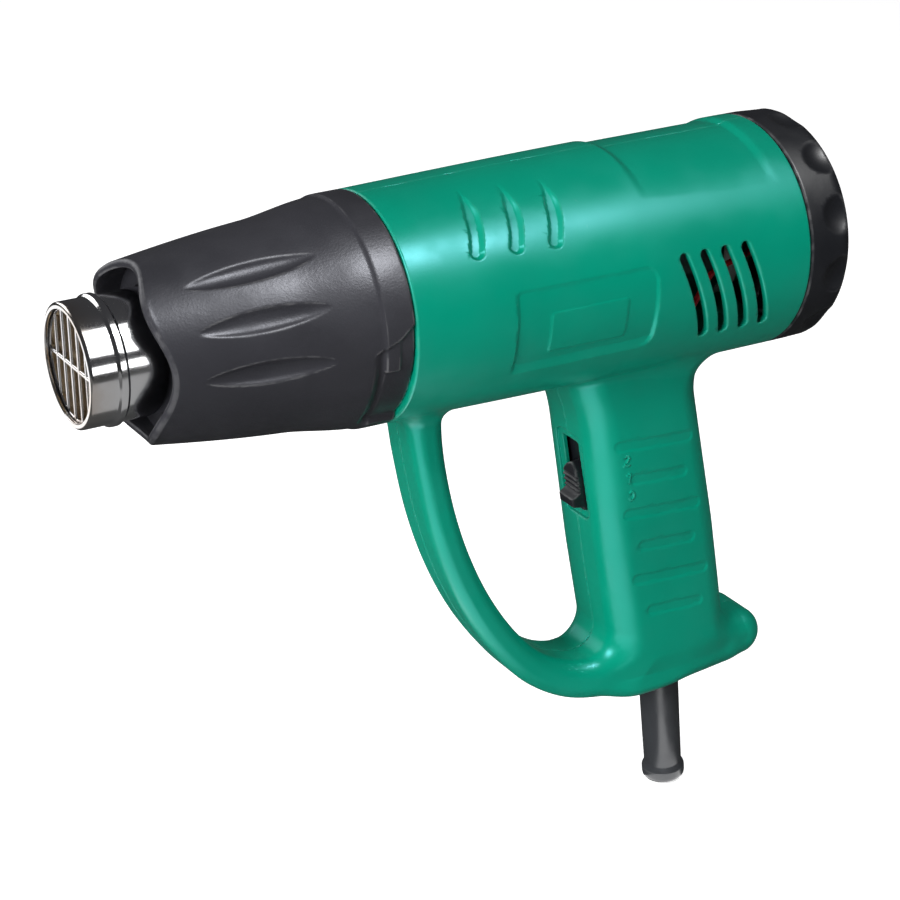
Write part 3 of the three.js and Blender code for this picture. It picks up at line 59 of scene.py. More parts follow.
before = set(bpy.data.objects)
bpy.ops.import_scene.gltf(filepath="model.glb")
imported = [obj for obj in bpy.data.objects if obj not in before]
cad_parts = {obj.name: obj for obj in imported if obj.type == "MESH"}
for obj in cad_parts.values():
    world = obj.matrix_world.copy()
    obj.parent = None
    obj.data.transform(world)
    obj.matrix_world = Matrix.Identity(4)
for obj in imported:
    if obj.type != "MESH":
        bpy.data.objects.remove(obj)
cad_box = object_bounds()

MM = 0.001


def span(node):
    """Lowest and highest corner of a frame node, in millimetres."""
    low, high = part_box(node)
    return np.array(low) / MM, np.array(high) / MM


# Places along the barrel, in millimetres, from the frame
CLEARANCE = 0.3
CAP_SEAM = span("rear_cap")[0][0] - CLEARANCE
SHIELD_SEAM = span("heat_shield")[1][0] + CLEARANCE
NOZZLE_TIP = span("nozzle_tube")[0][0]
SHIELD_MOUTH = NOZZLE_TIP + 18.4

# Lowest point of the part, in metres, just above the floor
LOWEST = cad_box[0].z

# Barrel, in millimetres as all sizes below
REAR_RADIUS = span("rear_cap")[1][2]
FRONT_RADIUS = 34.2
CROWN = 0.5
SPIGOT = 8.0
REAR_SPIGOT = 33.8
FRONT_SPIGOT = 31.7
BORE = 29.3

# Flattened top of the rear barrel, set back from the cap's seam
SADDLE_FRONT = 55.0
SADDLE_REAR = 8.0
SADDLE_CREASE = math.radians(50.5)
SADDLE_REAR_SHARE = 0.7

# Finger grooves: setback from the shield's seam, pitch, angle from the top and half width, at both ends
FINGER_GROOVES = 3
GROOVE_TOP_SETBACK, GROOVE_TOP_PITCH = 26.3, 12.85
GROOVE_LOW_SETBACK, GROOVE_LOW_PITCH = 22.7, 12.6
GROOVE_TOP_ANGLE, GROOVE_TOP_FAN = 18.5, 2.0
GROOVE_LOW_ANGLE, GROOVE_LOW_FAN = 53.5, 1.0
GROOVE_TOP_HALF, GROOVE_LOW_HALF = 0.8, 2.5

# Bare panel on the side, and the plate that stands on its floor
PANEL_REAR = CAP_SEAM - 55.5
PANEL_LENGTH = 47.0
PANEL_TOP, PANEL_BOTTOM = 8.3, -17.4
PANEL_REAR_CORNER, PANEL_FRONT_CORNER = 4.5, 1.2
PANEL_SLOPE = 3.4
PLATE_MIDDLE = (CAP_SEAM - 78.5, -5.6)
PLATE_HALF = (13.0, 6.2)
PLATE_RISE = 0.22

# Slanted vents in the side of the barrel
VENTS = 4
VENT_TOP_X = CAP_SEAM - 23.9
VENT_PITCH = 7.35
VENT_SLANT = 9.8
VENT_TOP, VENT_BOTTOM = 8.6, -16.9

# Rear cap
CAP_ROUNDING = 5.4
CAP_WALL = 4.6
CAP_HOLLOW = 31.1
SCALLOPS = 12
SCALLOP_TURN = math.radians(10)
SCALLOP_RADIUS = 11.6
SCALLOP_X = -4.6
SCALLOP_OUT = REAR_RADIUS + 9.5
INTAKE_SLOTS = 14
INTAKE_HALF_WIDTH = 1.3
INTAKE_INNER, INTAKE_OUTER = 13.5, 26.0

# Heat shield
COLLAR_LENGTH = 9.5
COLLAR_STEP = 2.4
MOUTH_RADIUS = 25.6
CONE_CROWN = 0.9
DIMPLES = 3
DIMPLE_MIDDLE = SHIELD_MOUTH + 29
DIMPLE_HALF_LENGTH, DIMPLE_HALF_WIDTH = 19.0, 3.7
DIMPLE_FIRST, DIMPLE_PITCH = 36.5, 28.0

# Grip frame: u points to the rear, w points up along the grip's axis
GRIP_TOP = CAP_SEAM - 51.4
GRIP_LEAN = math.radians(9.7)
GRIP_LENGTH = 148.5
GRIP_START = 20.0
GRIP_END_SETBACK = 2.5
GRIP_HALF_WIDTH = 17.0
GRIP_SIDE_CROWN, GRIP_CROWN_REACH = 1.1, 18.0
GRIP_FRONT = -21.5
GRIP_CORNER = 9.0
GRIP_GROOVES = 6
GRIP_GROOVE_FIRST, GRIP_GROOVE_PITCH = -57.0, 11.9
GRIP_GROOVE_LONG, GRIP_GROOVE_SHORT = 29.0, 21.5
GRIP_GROOVE_HALF = 1.8
GRIP_GROOVE_TILT = math.radians(4)

# Slide switch, along the grip
SLOT_LOW = -79.5
SLOT_HIGH = -54.7
SLOT_HALF = 4.4
RECESS_SIDE, RECESS_END = 2.6, 2.4
RECESS_DEPTH = 1.3
THUMB_LOW = -79.1
THUMB_LENGTH = 16.0
THUMB_HALF = 4.0
THUMB_PLATE_MIDDLE = 8.4
THUMB_PLATE_HALF = (7.2, 17.9)
THUMB_PLATE_DEPTH, THUMB_PLATE_THICK = 4.8, 1.4
THUMB_RIB_PITCH, THUMB_RIB_DEPTH = 1.9, 0.55
LEVEL_MARK_U = -11.0

# Foot and cord sleeve
FOOT_DROP = GRIP_LENGTH * math.cos(GRIP_LEAN) - 5.4
FOOT_X = GRIP_TOP + FOOT_DROP * math.tan(GRIP_LEAN)
SLEEVE_X = FOOT_X + 1.7
SLEEVE_Z = 1 - FOOT_DROP - 9.5
SLEEVE_LEAN = math.radians(5.2)
SLEEVE_RADIUS = 6.7
SLEEVE_FLANGE = 9.0
SLEEVE_BORE = 4.1


def lerp(a, b, share):
    return a + (b - a) * share


def smooth(low, high, value):
    share = np.clip((value - low) / (high - low), 0, 1)
    return share * share * (3 - 2 * share)


def fuse(a, b, radius):
    """Joins two distance fields with a round fillet."""
    near = np.hypot(np.maximum(radius - a, 0), np.maximum(radius - b, 0))
    return np.maximum(radius, np.minimum(a, b)) - near


def trim(a, b, radius):
    """Keeps what lies in both fields, with a round edge."""
    near = np.hypot(np.maximum(radius + a, 0), np.maximum(radius + b, 0))
    return np.minimum(-radius, np.maximum(a, b)) + near


def carve(a, b, radius):
    return trim(a, -b, radius)


def capsule(x, z, start, end, start_radius, end_radius):
    """Flat distance to a bar with round ends that may taper."""
    step_x, step_z = end[0] - start[0], end[1] - start[1]
    share = ((x - start[0]) * step_x + (z - start[1]) * step_z) / (step_x**2 + step_z**2)
    share = np.clip(share, 0, 1)
    off = np.hypot(x - start[0] - share * step_x, z - start[1] - share * step_z)
    return off - lerp(start_radius, end_radius, share)


def rounded_box(x, z, centre, half, corner):
    across = np.abs(x - centre[0]) - half[0] + corner
    up = np.abs(z - centre[1]) - half[1] + corner
    outside = np.hypot(np.maximum(across, 0), np.maximum(up, 0))
    return outside + np.minimum(np.maximum(across, up), 0) - corner


def leaning(x, z, origin_x, origin_z, angle):
    """Coordinates in a frame that leans back from the vertical: to the rear, and up along its axis."""
    over, up = x - origin_x, z - origin_z
    return over * math.cos(angle) + up * math.sin(angle), up * math.cos(angle) - over * math.sin(angle)


def lean_point(u, w, origin_x, origin_z, angle):
    return (
        origin_x + u * math.cos(angle) - w * math.sin(angle),
        origin_z + u * math.sin(angle) + w * math.cos(angle),
    )


def grip_place(x, z):
    return leaning(x, z, GRIP_TOP, 0, GRIP_LEAN)


def smooth_line(rows, steps):
    """A smooth line through rows of numbers, with points spaced by the root of their distance."""
    rows = np.asarray(rows, float)
    padded = np.vstack([2 * rows[0] - rows[1], rows, 2 * rows[-1] - rows[-2]])
    made = []
    share = np.linspace(0, 1, steps, endpoint=False)[:, None]
    for i in range(len(rows) - 1):
        p0, p1, p2, p3 = padded[i : i + 4]
        d0, d1, d2 = np.sqrt(np.linalg.norm(np.diff(padded[i : i + 4], axis=0), axis=1))
        leave = ((p1 - p0) / d0 - (p2 - p0) / (d0 + d1) + (p2 - p1) / d1) * d1
        arrive = ((p2 - p1) / d1 - (p3 - p1) / (d1 + d2) + (p3 - p2) / d2) * d1
        cube = 2 * p1 - 2 * p2 + leave + arrive
        square = 3 * p2 - 3 * p1 - 2 * leave - arrive
        made.append(p1 + share * (leave + share * (square + share * cube)))
    made.append(rows[-1:])
    return np.vstack(made)


def guard_line():
    """Hand guard, foot and spur as rows of x, z, thickness and width."""
    root_x, root_z = SHIELD_SEAM + 16.5, 4 - FRONT_RADIUS
    end_x = FOOT_X - 25
    spur_root, spur_end = FOOT_X + 18.5, FOOT_X + 28.2

    def row(along, down, thick, wide):
        return [lerp(root_x, end_x, along), lerp(root_z, -FOOT_DROP, down), thick, wide]

    return smooth_line(
        [
            row(0, 0, 16, 22),
            row(0.01, 0.07, 12, 20),
            row(0.03, 0.18, 10.3, 20),
            row(0.09, 0.36, 10, 20),
            row(0.178, 0.523, 10, 20),
            row(0.302, 0.68, 10, 20),
            row(0.457, 0.818, 10, 20),
            row(0.61, 0.914, 11, 21),
            row(0.8, 0.975, 13, 24),
            row(1, 0.99, 15, 28),
            [FOOT_X, 1.2 - FOOT_DROP, 17.4, 32],
            [spur_root, 1.4 - FOOT_DROP, 17.4, 29],
            [lerp(spur_root, spur_end, 0.4), 1.4 - FOOT_DROP, 17, 28.6],
            [lerp(spur_root, spur_end, 0.75), 1.5 - FOOT_DROP, 16.5, 27.4],
            [spur_end, 1.6 - FOOT_DROP, 16.2, 26.6],
        ],
        10,
    )


GUARD = guard_line()
CHUNK = 20000


def nearest_on_guard(x, z):
    """Distance to the guard's centre line in the side view, with its thickness and width there."""
    x, z = np.broadcast_arrays(x, z)
    flat_x, flat_z = x.ravel(), z.ravel()
    start, step = GUARD[:-1], np.diff(GUARD, axis=0)
    square = step[:, 0] ** 2 + step[:, 1] ** 2
    found = np.empty((3, flat_x.size))
    for first in range(0, flat_x.size, CHUNK):
        part = slice(first, first + CHUNK)
        dx = flat_x[part, None] - start[:, 0]
        dz = flat_z[part, None] - start[:, 1]
        share = np.clip((dx * step[:, 0] + dz * step[:, 1]) / square, 0, 1)
        off = (dx - share * step[:, 0]) ** 2 + (dz - share * step[:, 1]) ** 2
        best = np.argmin(off, axis=1)
        rows = np.arange(best.size)
        at = share[rows, best]
        found[0, part] = np.sqrt(off[rows, best])
        found[1, part] = start[best, 2] + at * step[best, 2]
        found[2, part] = start[best, 3] + at * step[best, 3]
    return [row.reshape(x.shape) for row in found]


def grip_depth(down):
    """Half depth of the grip and its shift to the rear, by the distance down its axis."""
    places = [20.5, 37.5, 41.5, 47.5, 70.8, 95.2, 120.8, 136.5, 148.5]
    depths = [24.9, 23.7, 21.9, 20.8, 21.3, 21.9, 21.7, 21.3, 20.6]
    shifts = [1.5, 1.5, 0.6, 0.0, 0.0, 0.0, 0.0, 0.0, 0.0]
    fine = np.linspace(places[0], places[-1], 400)
    soft = np.hanning(31) / np.hanning(31).sum()
    smoothed = []
    for values in (depths, shifts):
        line = np.interp(fine, places, values)
        edge = np.pad(line, 15, mode="edge")
        smoothed.append(np.convolve(edge, soft, mode="valid"))
    return np.interp(down, fine, smoothed[0]), np.interp(down, fine, smoothed[1])


def barrel_skin(x, y, z):
    radius = np.hypot(y, z)
    share = np.clip((x - CAP_SEAM) / (SHIELD_SEAM - CAP_SEAM), 0, 1)
    return radius - lerp(REAR_RADIUS, FRONT_RADIUS, share) - CROWN * np.sin(np.pi * share)


def saddle(skin, x, y, z, depth):
    """Flattened top of the rear barrel: deepest in front, with a crease at each side."""
    front, rear = CAP_SEAM - SADDLE_FRONT, CAP_SEAM - SADDLE_REAR
    crease = REAR_RADIUS * math.cos(SADDLE_CREASE)
    share = np.clip((x - front) / (rear - front), 0, 1)
    flat = REAR_RADIUS - lerp(depth, SADDLE_REAR_SHARE * depth, share)
    drop = (REAR_RADIUS**2 - flat**2) / (2 * (flat - crease))
    lower = np.hypot(y, z + drop) - flat - drop - skin
    lower = (lower + np.sqrt(lower * lower + 0.001)) / 2
    return skin + lower * smooth(front - 0.6, front + 2.6, x) * smooth(rear + 1, rear - 2.5, x)


def finger_grooves(x, y, z, depth):
    """Depth of the grooves for the fingers of the second hand: round lower ends and tops that fade out."""
    arc = np.arctan2(y, z) * FRONT_RADIUS
    cut = 0.0
    for i in range(FINGER_GROOVES):
        low = math.radians(GROOVE_LOW_ANGLE + GROOVE_LOW_FAN * i) * FRONT_RADIUS
        top = math.radians(GROOVE_TOP_ANGLE + GROOVE_TOP_FAN * i) * FRONT_RADIUS
        run = np.clip((arc - top) / (low - top), 0, 1)
        top_x = GROOVE_TOP_SETBACK + GROOVE_TOP_PITCH * i
        low_x = GROOVE_LOW_SETBACK + GROOVE_LOW_PITCH * i
        middle = SHIELD_SEAM + lerp(top_x, low_x, run**2.4)
        beyond = np.maximum(arc - low, 0) + np.maximum(top - arc, 0)
        half = lerp(GROOVE_TOP_HALF, GROOVE_LOW_HALF, smooth(0, 0.5, run))
        off = np.hypot(x - middle, beyond) - half
        share = lerp(0.1, 1, smooth(0, 0.55, run))
        cut = cut + depth * share * smooth(0.2, -1.4, off)
    return cut


def label_recess(x, y, z, depth):
    """Depth of the bare panel: its floor leans in toward a sloped lower wall and carries a flat plate."""
    height = PANEL_TOP - PANEL_BOTTOM
    middle = (PANEL_REAR - PANEL_LENGTH / 2, (PANEL_TOP + PANEL_BOTTOM) / 2)
    corner = np.where(x > middle[0], PANEL_REAR_CORNER, PANEL_FRONT_CORNER)
    off = rounded_box(x, z, middle, (PANEL_LENGTH / 2, height / 2), corner)
    slope = np.clip((z - PANEL_BOTTOM) / PANEL_SLOPE, 0, 1)
    floor = lerp(1, 0.35, np.clip((z - PANEL_BOTTOM) / height, 0, 1)) * slope
    plate = rounded_box(x, z, PLATE_MIDDLE, PLATE_HALF, 1.0)
    cut = depth * floor * smooth(0.8, -0.7, off) - PLATE_RISE * smooth(0.35, -0.35, plate)
    return cut * (y > 10)


def vent_slots(x, y, z, width):
    """The slanted slots in the side of the barrel, as one distance field."""
    found = np.inf
    half = width / 2
    for i in range(VENTS):
        top_x = VENT_TOP_X - VENT_PITCH * i
        slot = capsule(x, z, (top_x, VENT_TOP), (top_x + VENT_SLANT, VENT_BOTTOM), half, half)
        found = np.minimum(found, slot)
    return np.maximum(found, 18.5 - y)


def grip_grooves(x, y, z, depth):
    """Depth of the shallow grooves across each side of the grip, long and short by turns."""
    cut = 0.0
    for i in range(GRIP_GROOVES):
        reach = GRIP_GROOVE_SHORT if i % 2 else GRIP_GROOVE_LONG
        level = GRIP_GROOVE_FIRST - GRIP_GROOVE_PITCH * i
        middle = lean_point(0, level, GRIP_TOP, 0, GRIP_LEAN)[0]
        half = reach / 2 - GRIP_GROOVE_HALF
        fall = half * math.sin(GRIP_GROOVE_TILT)
        start, end = (middle - half, level + fall), (middle + half, level - fall)
        off = capsule(x, z, start, end, GRIP_GROOVE_HALF, GRIP_GROOVE_HALF)
        cut = cut + depth * smooth(0.5, -0.7, off)
    return cut * (y > 8)


def level_marks(x, y, z):
    """Flat distance to the raised figures 2, 1 and 0 beside the switch."""
    stroke = 0.22
    found = np.inf
    for level, figure in (
        (-61.2, [(-1, 1), (-0.4, 1.6), (0.5, 1.5), (0.8, 0.6), (-1, -1.6), (1, -1.6)]),
        (-67.4, [(-0.6, 1.1), (0.2, 1.6), (0.2, -1.6)]),
        (-73.4, [(-0.9, 0.7), (0, 1.6), (0.9, 0.7), (0.9, -0.7), (0, -1.6), (-0.9, -0.7), (-0.9, 0.7)]),
    ):
        middle = lean_point(LEVEL_MARK_U, level, GRIP_TOP, 0, GRIP_LEAN)[0]
        for start, end in zip(figure, figure[1:]):
            first = (middle + start[0], level + start[1])
            last = (middle + end[0], level + end[1])
            found = np.minimum(found, capsule(x, z, first, last, stroke, stroke))
    return np.where(y > 8, found, 9.0)


def handle_body(x, y, z, sizes):
    """Grip, guard, foot and spur as one moulding with filleted corners."""
    u, w = grip_place(x, z)
    half_depth, shift = grip_depth(-w)
    grip = trim(np.abs(u - shift) - half_depth, GRIP_END_SETBACK - w - GRIP_LENGTH, 6)
    grip = np.maximum(grip, w + GRIP_START)
    off, thick, wide = nearest_on_guard(x, z)
    guard = off - thick / 2
    fillet = lerp(sizes.web_fillet / MM, sizes.spur_fillet / MM, smooth(-8, 8, u))
    profile = fuse(grip, guard, fillet)
    is_grip = smooth(-10, 10, guard - grip)
    half_width = lerp(wide / 2, GRIP_HALF_WIDTH, is_grip)
    near_edge = 1 - np.clip(-profile / GRIP_CROWN_REACH, 0, 1)
    half_width = half_width - GRIP_SIDE_CROWN * is_grip * near_edge**2
    guard_corner = np.minimum(lerp(0.4, 0.5, smooth(FOOT_X + 18, FOOT_X + 32, x)) * thick, 7)
    corner = lerp(guard_corner, GRIP_CORNER, is_grip)
    return trim(profile, y - half_width, corner)


def switch_recess(x, y, z):
    """Shallow recess round the switch on the grip's front, and the slot through its floor."""
    u, w = grip_place(x, z)
    middle, half = (SLOT_LOW + SLOT_HIGH) / 2, (SLOT_HIGH - SLOT_LOW) / 2
    frame_edge = rounded_box(y, w, (0, middle), (SLOT_HALF + RECESS_SIDE, half + RECESS_END), 3.5)
    ahead = GRIP_FRONT - 6 - u
    recess = np.maximum(np.maximum(frame_edge, u - GRIP_FRONT - RECESS_DEPTH), ahead)
    slot = rounded_box(y, w, (0, middle), (SLOT_HALF, half), 0.8)
    slot = np.maximum(np.maximum(slot, u + 12), ahead)
    return recess, slot


def sleeve_hole(x, y, z):
    u, w = leaning(x, z, SLEEVE_X, SLEEVE_Z, SLEEVE_LEAN)
    around = np.hypot(u, y)
    mouth = np.maximum(around - SLEEVE_RADIUS - CLEARANCE, np.abs(w) - 5)
    pocket = np.maximum(around - SLEEVE_FLANGE - CLEARANCE, np.abs(w - 10) - 6)
    return np.minimum(mouth, pocket)


def screw_places():
    """Side-view places of the six housing screws, from the frame."""
    found = []
    for i in range(6):
        low, high = span(f"housing_screw_{i + 1}")
        found.append(((low[0] + high[0]) / 2, (low[2] + high[2]) / 2))
    return found


SCREWS = screw_places()
SCREW_SEAT = 6.5
SCREW_POST = 4.6
SCREW_BORE = 3.5
SCREW_HEAD = 3.1
SCREW_SHANK = 1.5
SCREW_LENGTH = 13.0


def housing_core(sizes):
    """Distance field that both housing halves share, on the side where y is positive.

    The grid of the whole half is worked out once and kept for the other half.
    """
    kept = []

    def field(x, y, z):
        if kept and x.ndim == 3:
            return kept[0]
        skin = saddle(barrel_skin(x, y, z), x, y, z, sizes.saddle_depth / MM)
        skin = skin + finger_grooves(x, y, z, sizes.groove_depth / MM)
        skin = skin + label_recess(x, y, z, sizes.label_depth / MM)
        barrel = trim(skin, np.maximum(x - CAP_SEAM, SHIELD_SEAM - x), 0.7)
        around = np.hypot(y, z)
        middle = (CAP_SEAM + SHIELD_SEAM) / 2
        spigot = around - np.where(x > middle, REAR_SPIGOT, FRONT_SPIGOT)
        reach = np.maximum(x - CAP_SEAM - SPIGOT, SHIELD_SEAM - SPIGOT - x)
        handle = handle_body(x, y, z, sizes)
        u, w = grip_place(x, z)
        fillet = lerp(2.2, sizes.rear_fillet / MM, smooth(-15, 20, u))
        fillet = lerp(sizes.guard_fillet / MM, fillet, smooth(-50, -30, u))
        outside = fuse(barrel, handle, fillet)
        outside = outside + grip_grooves(x, y, z, sizes.pad_depth / MM)
        outside = np.minimum(outside, np.maximum(spigot, reach))

        wall = sizes.wall / MM
        chamber = np.maximum(barrel_skin(x, y, z), np.maximum(x - CAP_SEAM, SHIELD_SEAM - x)) + wall
        half_depth, shift = grip_depth(-w)
        hollow = rounded_box(u - shift, y, (0, 0), (half_depth - wall, GRIP_HALF_WIDTH - wall), 6)
        hollow = np.maximum(hollow, np.maximum(w + GRIP_START, -w - GRIP_LENGTH + wall + 4))
        inside = np.minimum(np.minimum(chamber, around - BORE), hollow)
        for sx, sz in SCREWS:
            post = np.hypot(x - sx, z - sz) - SCREW_POST
            inside = np.maximum(inside, -post)
        half = np.maximum(outside, -inside)

        half = carve(half, vent_slots(x, y, z, sizes.vent_width / MM), 0.6)
        recess, slot = switch_recess(x, y, z)
        half = carve(carve(half, recess, 0.5), slot, 0.25)
        half = carve(half, sleeve_hole(x, y, z), 0.4)
        if x.ndim == 3:
            kept.append(half)
        return half

    return field


def housing_field(core, seam, right):
    """One housing half, trimmed at the seam. The right one has the bores of the screws."""

    def field(x, y, z):
        half = core(x, y, z)
        if right:
            for sx, sz in SCREWS:
                bore = np.maximum(np.hypot(x - sx, z - sz) - SCREW_BORE, SCREW_SEAT - y)
                half = carve(half, bore, 0.4)
        else:
            half = half - 0.3 * smooth(0.25, -0.2, level_marks(x, y, z))
        return trim(half, seam / 2 - y, 0.12)

    return field


def fold_round(y, z, count, turn):
    """Folds the space round the barrel into one of count sectors: sideways, and out from the axis."""
    around = np.hypot(y, z)
    angle = np.arctan2(y, z) + turn
    sector = 2 * math.pi / count
    fold = angle - np.round(angle / sector) * sector
    return around * np.sin(fold), around * np.cos(fold)


def cap_field(x, y, z):
    """Rear cap: round rim with scallops, radial intake slots and a hollow that fits over the housing."""
    around = np.hypot(y, z)
    outside = trim(around - REAR_RADIUS, x, CAP_ROUNDING)
    outside = trim(outside, CAP_SEAM + CLEARANCE - x, 0.7)
    side, out = fold_round(y, z, SCALLOPS, SCALLOP_TURN)
    ball = np.sqrt((x - SCALLOP_X) ** 2 + side**2 + (out - SCALLOP_OUT) ** 2) - SCALLOP_RADIUS
    outside = carve(outside, ball, 0.5)
    side, out = fold_round(y, z, INTAKE_SLOTS, math.pi / INTAKE_SLOTS)
    slot = capsule(side, out, (0, INTAKE_INNER), (0, INTAKE_OUTER), INTAKE_HALF_WIDTH, INTAKE_HALF_WIDTH)
    outside = carve(outside, np.maximum(slot, -x - 10), 0.4)
    seat = np.maximum(around - REAR_SPIGOT - CLEARANCE, x - CAP_SEAM - SPIGOT - CLEARANCE)
    hollow = np.minimum(seat, trim(around - CAP_HOLLOW, x + CAP_WALL, 2))
    return np.maximum(outside, -hollow)


def shield_radius(x):
    """Outside radius of the heat shield: a slightly crowned cone that flares into the collar at the rear."""
    step = SHIELD_SEAM - COLLAR_LENGTH
    share = np.clip((step - x) / (step - SHIELD_MOUTH), 0, 1)
    cone = lerp(FRONT_RADIUS - COLLAR_STEP, MOUTH_RADIUS, share) + CONE_CROWN * np.sin(np.pi * share)
    collar = FRONT_RADIUS - 0.1 * (SHIELD_SEAM - x) / COLLAR_LENGTH
    flare, ridge = smooth(step - 22, step + 3, x), smooth(step - 0.7, step + 0.5, x)
    return lerp(cone, collar, 0.8 * flare + 0.2 * ridge)


def shield_dimples(x, turn, depth):
    """Depth of the canoe-shaped dimples on each side."""
    cut = 0.0
    along = (x - DIMPLE_MIDDLE) / DIMPLE_HALF_LENGTH
    share = np.clip(1 - along**2, 0, 1)
    half = DIMPLE_HALF_WIDTH * share**0.75 + 0.05
    for i in range(DIMPLES):
        angle = math.radians(DIMPLE_FIRST + DIMPLE_PITCH * i)
        place = (turn - angle) * shield_radius(x) / half
        bowl = np.clip(1 - place * place, 0, 1)
        cut = cut + depth * share * bowl * smooth(0, 0.7, bowl)
    return cut


def shield_notch(x, turn, depth):
    """Depth of the finger notch at the lower rear side, with a raised pad at its front."""
    rear = SHIELD_SEAM - x
    top = np.interp(rear, [0, 4.3, 11.1, 14], [80, 86.3, 91.5, 94])
    degrees = np.degrees(turn)
    area = smooth(-0.5, 0.9, degrees - top) * smooth(144, 138, degrees) * smooth(13.2, 10.0, rear)
    hollow = lerp(0.55, 1, smooth(92, 118, degrees))
    pad = smooth(103.4, 102, degrees) * smooth(4.6, 5.2, rear) * smooth(9.8, 9.2, rear)
    raised = lerp(0.4, 1, np.clip((degrees - 91) / 11, 0, 1))
    return depth * area * hollow * (1 - raised * pad)


def shield_rings(sizes, columns, rows):
    """Points of the heat shield, as outlines set round its axis: outside, lip, inside and rear seat."""
    turn = np.linspace(0, 2 * math.pi, columns, endpoint=False)[None, :]
    side = np.abs(np.arctan2(np.sin(turn), np.cos(turn)))
    edge = SHIELD_MOUTH + sizes.wave / MM * np.cos(4 * turn)
    rear, wall, lip, soft = SHIELD_SEAM - CLEARANCE, sizes.wall / MM, 1.4, 0.5

    along = np.linspace(0, 1, rows)[:, None]
    x_out = lerp(rear - soft, edge + lip, along)
    r_out = shield_radius(x_out) - shield_dimples(x_out, side, sizes.dimple_depth / MM)
    r_out = r_out - shield_notch(x_out, side, sizes.notch_depth / MM)
    bend = np.radians(np.linspace(15, 90, 6))[:, None]
    rim = shield_radius(edge + lip)
    x_lip, r_lip = edge + lip * (1 - np.sin(bend)), rim - lip * (1 - np.cos(bend))
    bend = np.radians(np.linspace(0, 90, 4))[:, None]
    x_turn = edge + soft * (1 - np.cos(bend))
    r_turn = rim - wall + soft * (1 - np.sin(bend))

    ledge, thick, hole, chamfer = SHIELD_MOUTH + 7, 2.0, 18.4, 0.3
    seat = SHIELD_SEAM - SPIGOT - CLEARANCE
    same = np.zeros_like(turn)
    x_in = np.vstack([lerp(edge + soft, ledge + same, t) for t in (0.3, 0.7, 1)])
    r_in = shield_radius(x_in) - wall
    x_web = np.vstack([ledge + step + same for step in (0, chamfer, thick - chamfer, thick)])
    r_web = np.vstack([hole + step + same for step in (chamfer, 0, 0, chamfer)])
    x_back = np.vstack([lerp(ledge + thick, seat, t) + same for t in np.linspace(0, 1, 10)])
    r_back = np.minimum(shield_radius(x_back) - wall, FRONT_SPIGOT - 0.3)
    x_seat = np.vstack([seat + same, rear + same, rear + same])
    r_first = r_out[:1] - soft
    r_seat = np.vstack([FRONT_SPIGOT + CLEARANCE + same, FRONT_SPIGOT + CLEARANCE + same, r_first])
    x = np.vstack([x_out, x_lip, x_turn, x_in, x_web, x_back, x_seat])
    radius = np.vstack([r_out, r_lip, r_turn, r_in, r_web, r_back, r_seat])
    return np.stack([x, radius * np.sin(turn), radius * np.cos(turn)], axis=-1)


def thumb_field(x, y, z):
    """Switch slider: a ribbed thumb piece with a nose, on a plate that closes the slot."""
    u, w = grip_place(x, z)
    out = GRIP_FRONT - u
    along = w - THUMB_LOW
    outline = rounded_box(y, along, (0, THUMB_LENGTH / 2 - 2), (THUMB_HALF, THUMB_LENGTH / 2 + 2), 1.0)
    dome = rounded_box(y, along, (0, THUMB_LENGTH / 2), (THUMB_HALF, THUMB_LENGTH / 2), 4.6)
    outline = np.maximum(outline, np.where(along > THUMB_LENGTH / 2, dome, -along))
    rib_start, rib_end = 6.4, 12.2
    valley = np.abs(np.mod((along - rib_start) / THUMB_RIB_PITCH, 1) - 0.5) * 2
    ribs = THUMB_RIB_DEPTH * smooth(0.15, 0.55, valley)
    ribs = ribs * smooth(rib_start - 0.2, rib_start + 0.2, along)
    ribs = ribs * smooth(rib_end + 0.2, rib_end - 0.2, along)
    crest = 0.9 - 1.5 * np.clip((along - 11) / 5, 0, 1) ** 2
    nose = 2.4 * smooth(6.4, 5.0, along) * smooth(1.0, 2.6, along)
    height = crest + nose - ribs - 1.1 * smooth(2.4, 0.8, along)
    thumb = trim(trim(outline, (out - height) * 0.85, 0.45), -out - 4.2, 0.2)
    plate = rounded_box(y, along, (0, THUMB_PLATE_MIDDLE), THUMB_PLATE_HALF, 0.5)
    plate = trim(plate, np.abs(out + THUMB_PLATE_DEPTH) - THUMB_PLATE_THICK / 2, 0.15)
    stem = np.maximum(rounded_box(y, along, (0, 8), (2, 2), 0.4), np.abs(out + 6.8) - 2)
    return np.minimum(np.minimum(thumb, plate), stem)


def screw_field(x, y, z):
    """Pan-head screw with a cross recess, its head's underside at the origin and its shank toward -Y."""
    around = np.hypot(x, z)
    dome = np.sqrt(x * x + z * z + (y + 1.9) ** 2) - 4.1
    head = trim(trim(dome, around - SCREW_HEAD, 0.25), -y, 0.15)
    thick, long = 0.42, 1.75
    upright = np.maximum(np.abs(x) - thick, np.abs(z) - long)
    level = np.maximum(np.abs(z) - thick, np.abs(x) - long)
    head = carve(head, np.maximum(np.minimum(upright, level), 0.7 - y), 0.1)
    shank = trim(around - SCREW_SHANK, np.maximum(y - 0.5, -SCREW_LENGTH - y), 0.4)
    return np.minimum(head, shank)


def slope_of(field, points, reach):
    """Distance at each point, and its gradient by central differences."""
    x, y, z = points.T
    slope = np.empty_like(points)
    for axis in range(3):
        ahead, behind = [x, y, z], [x, y, z]
        ahead[axis] = ahead[axis] + reach
        behind[axis] = behind[axis] - reach
        slope[:, axis] = (field(*ahead) - field(*behind)) / (2 * reach)
    return field(x, y, z), slope


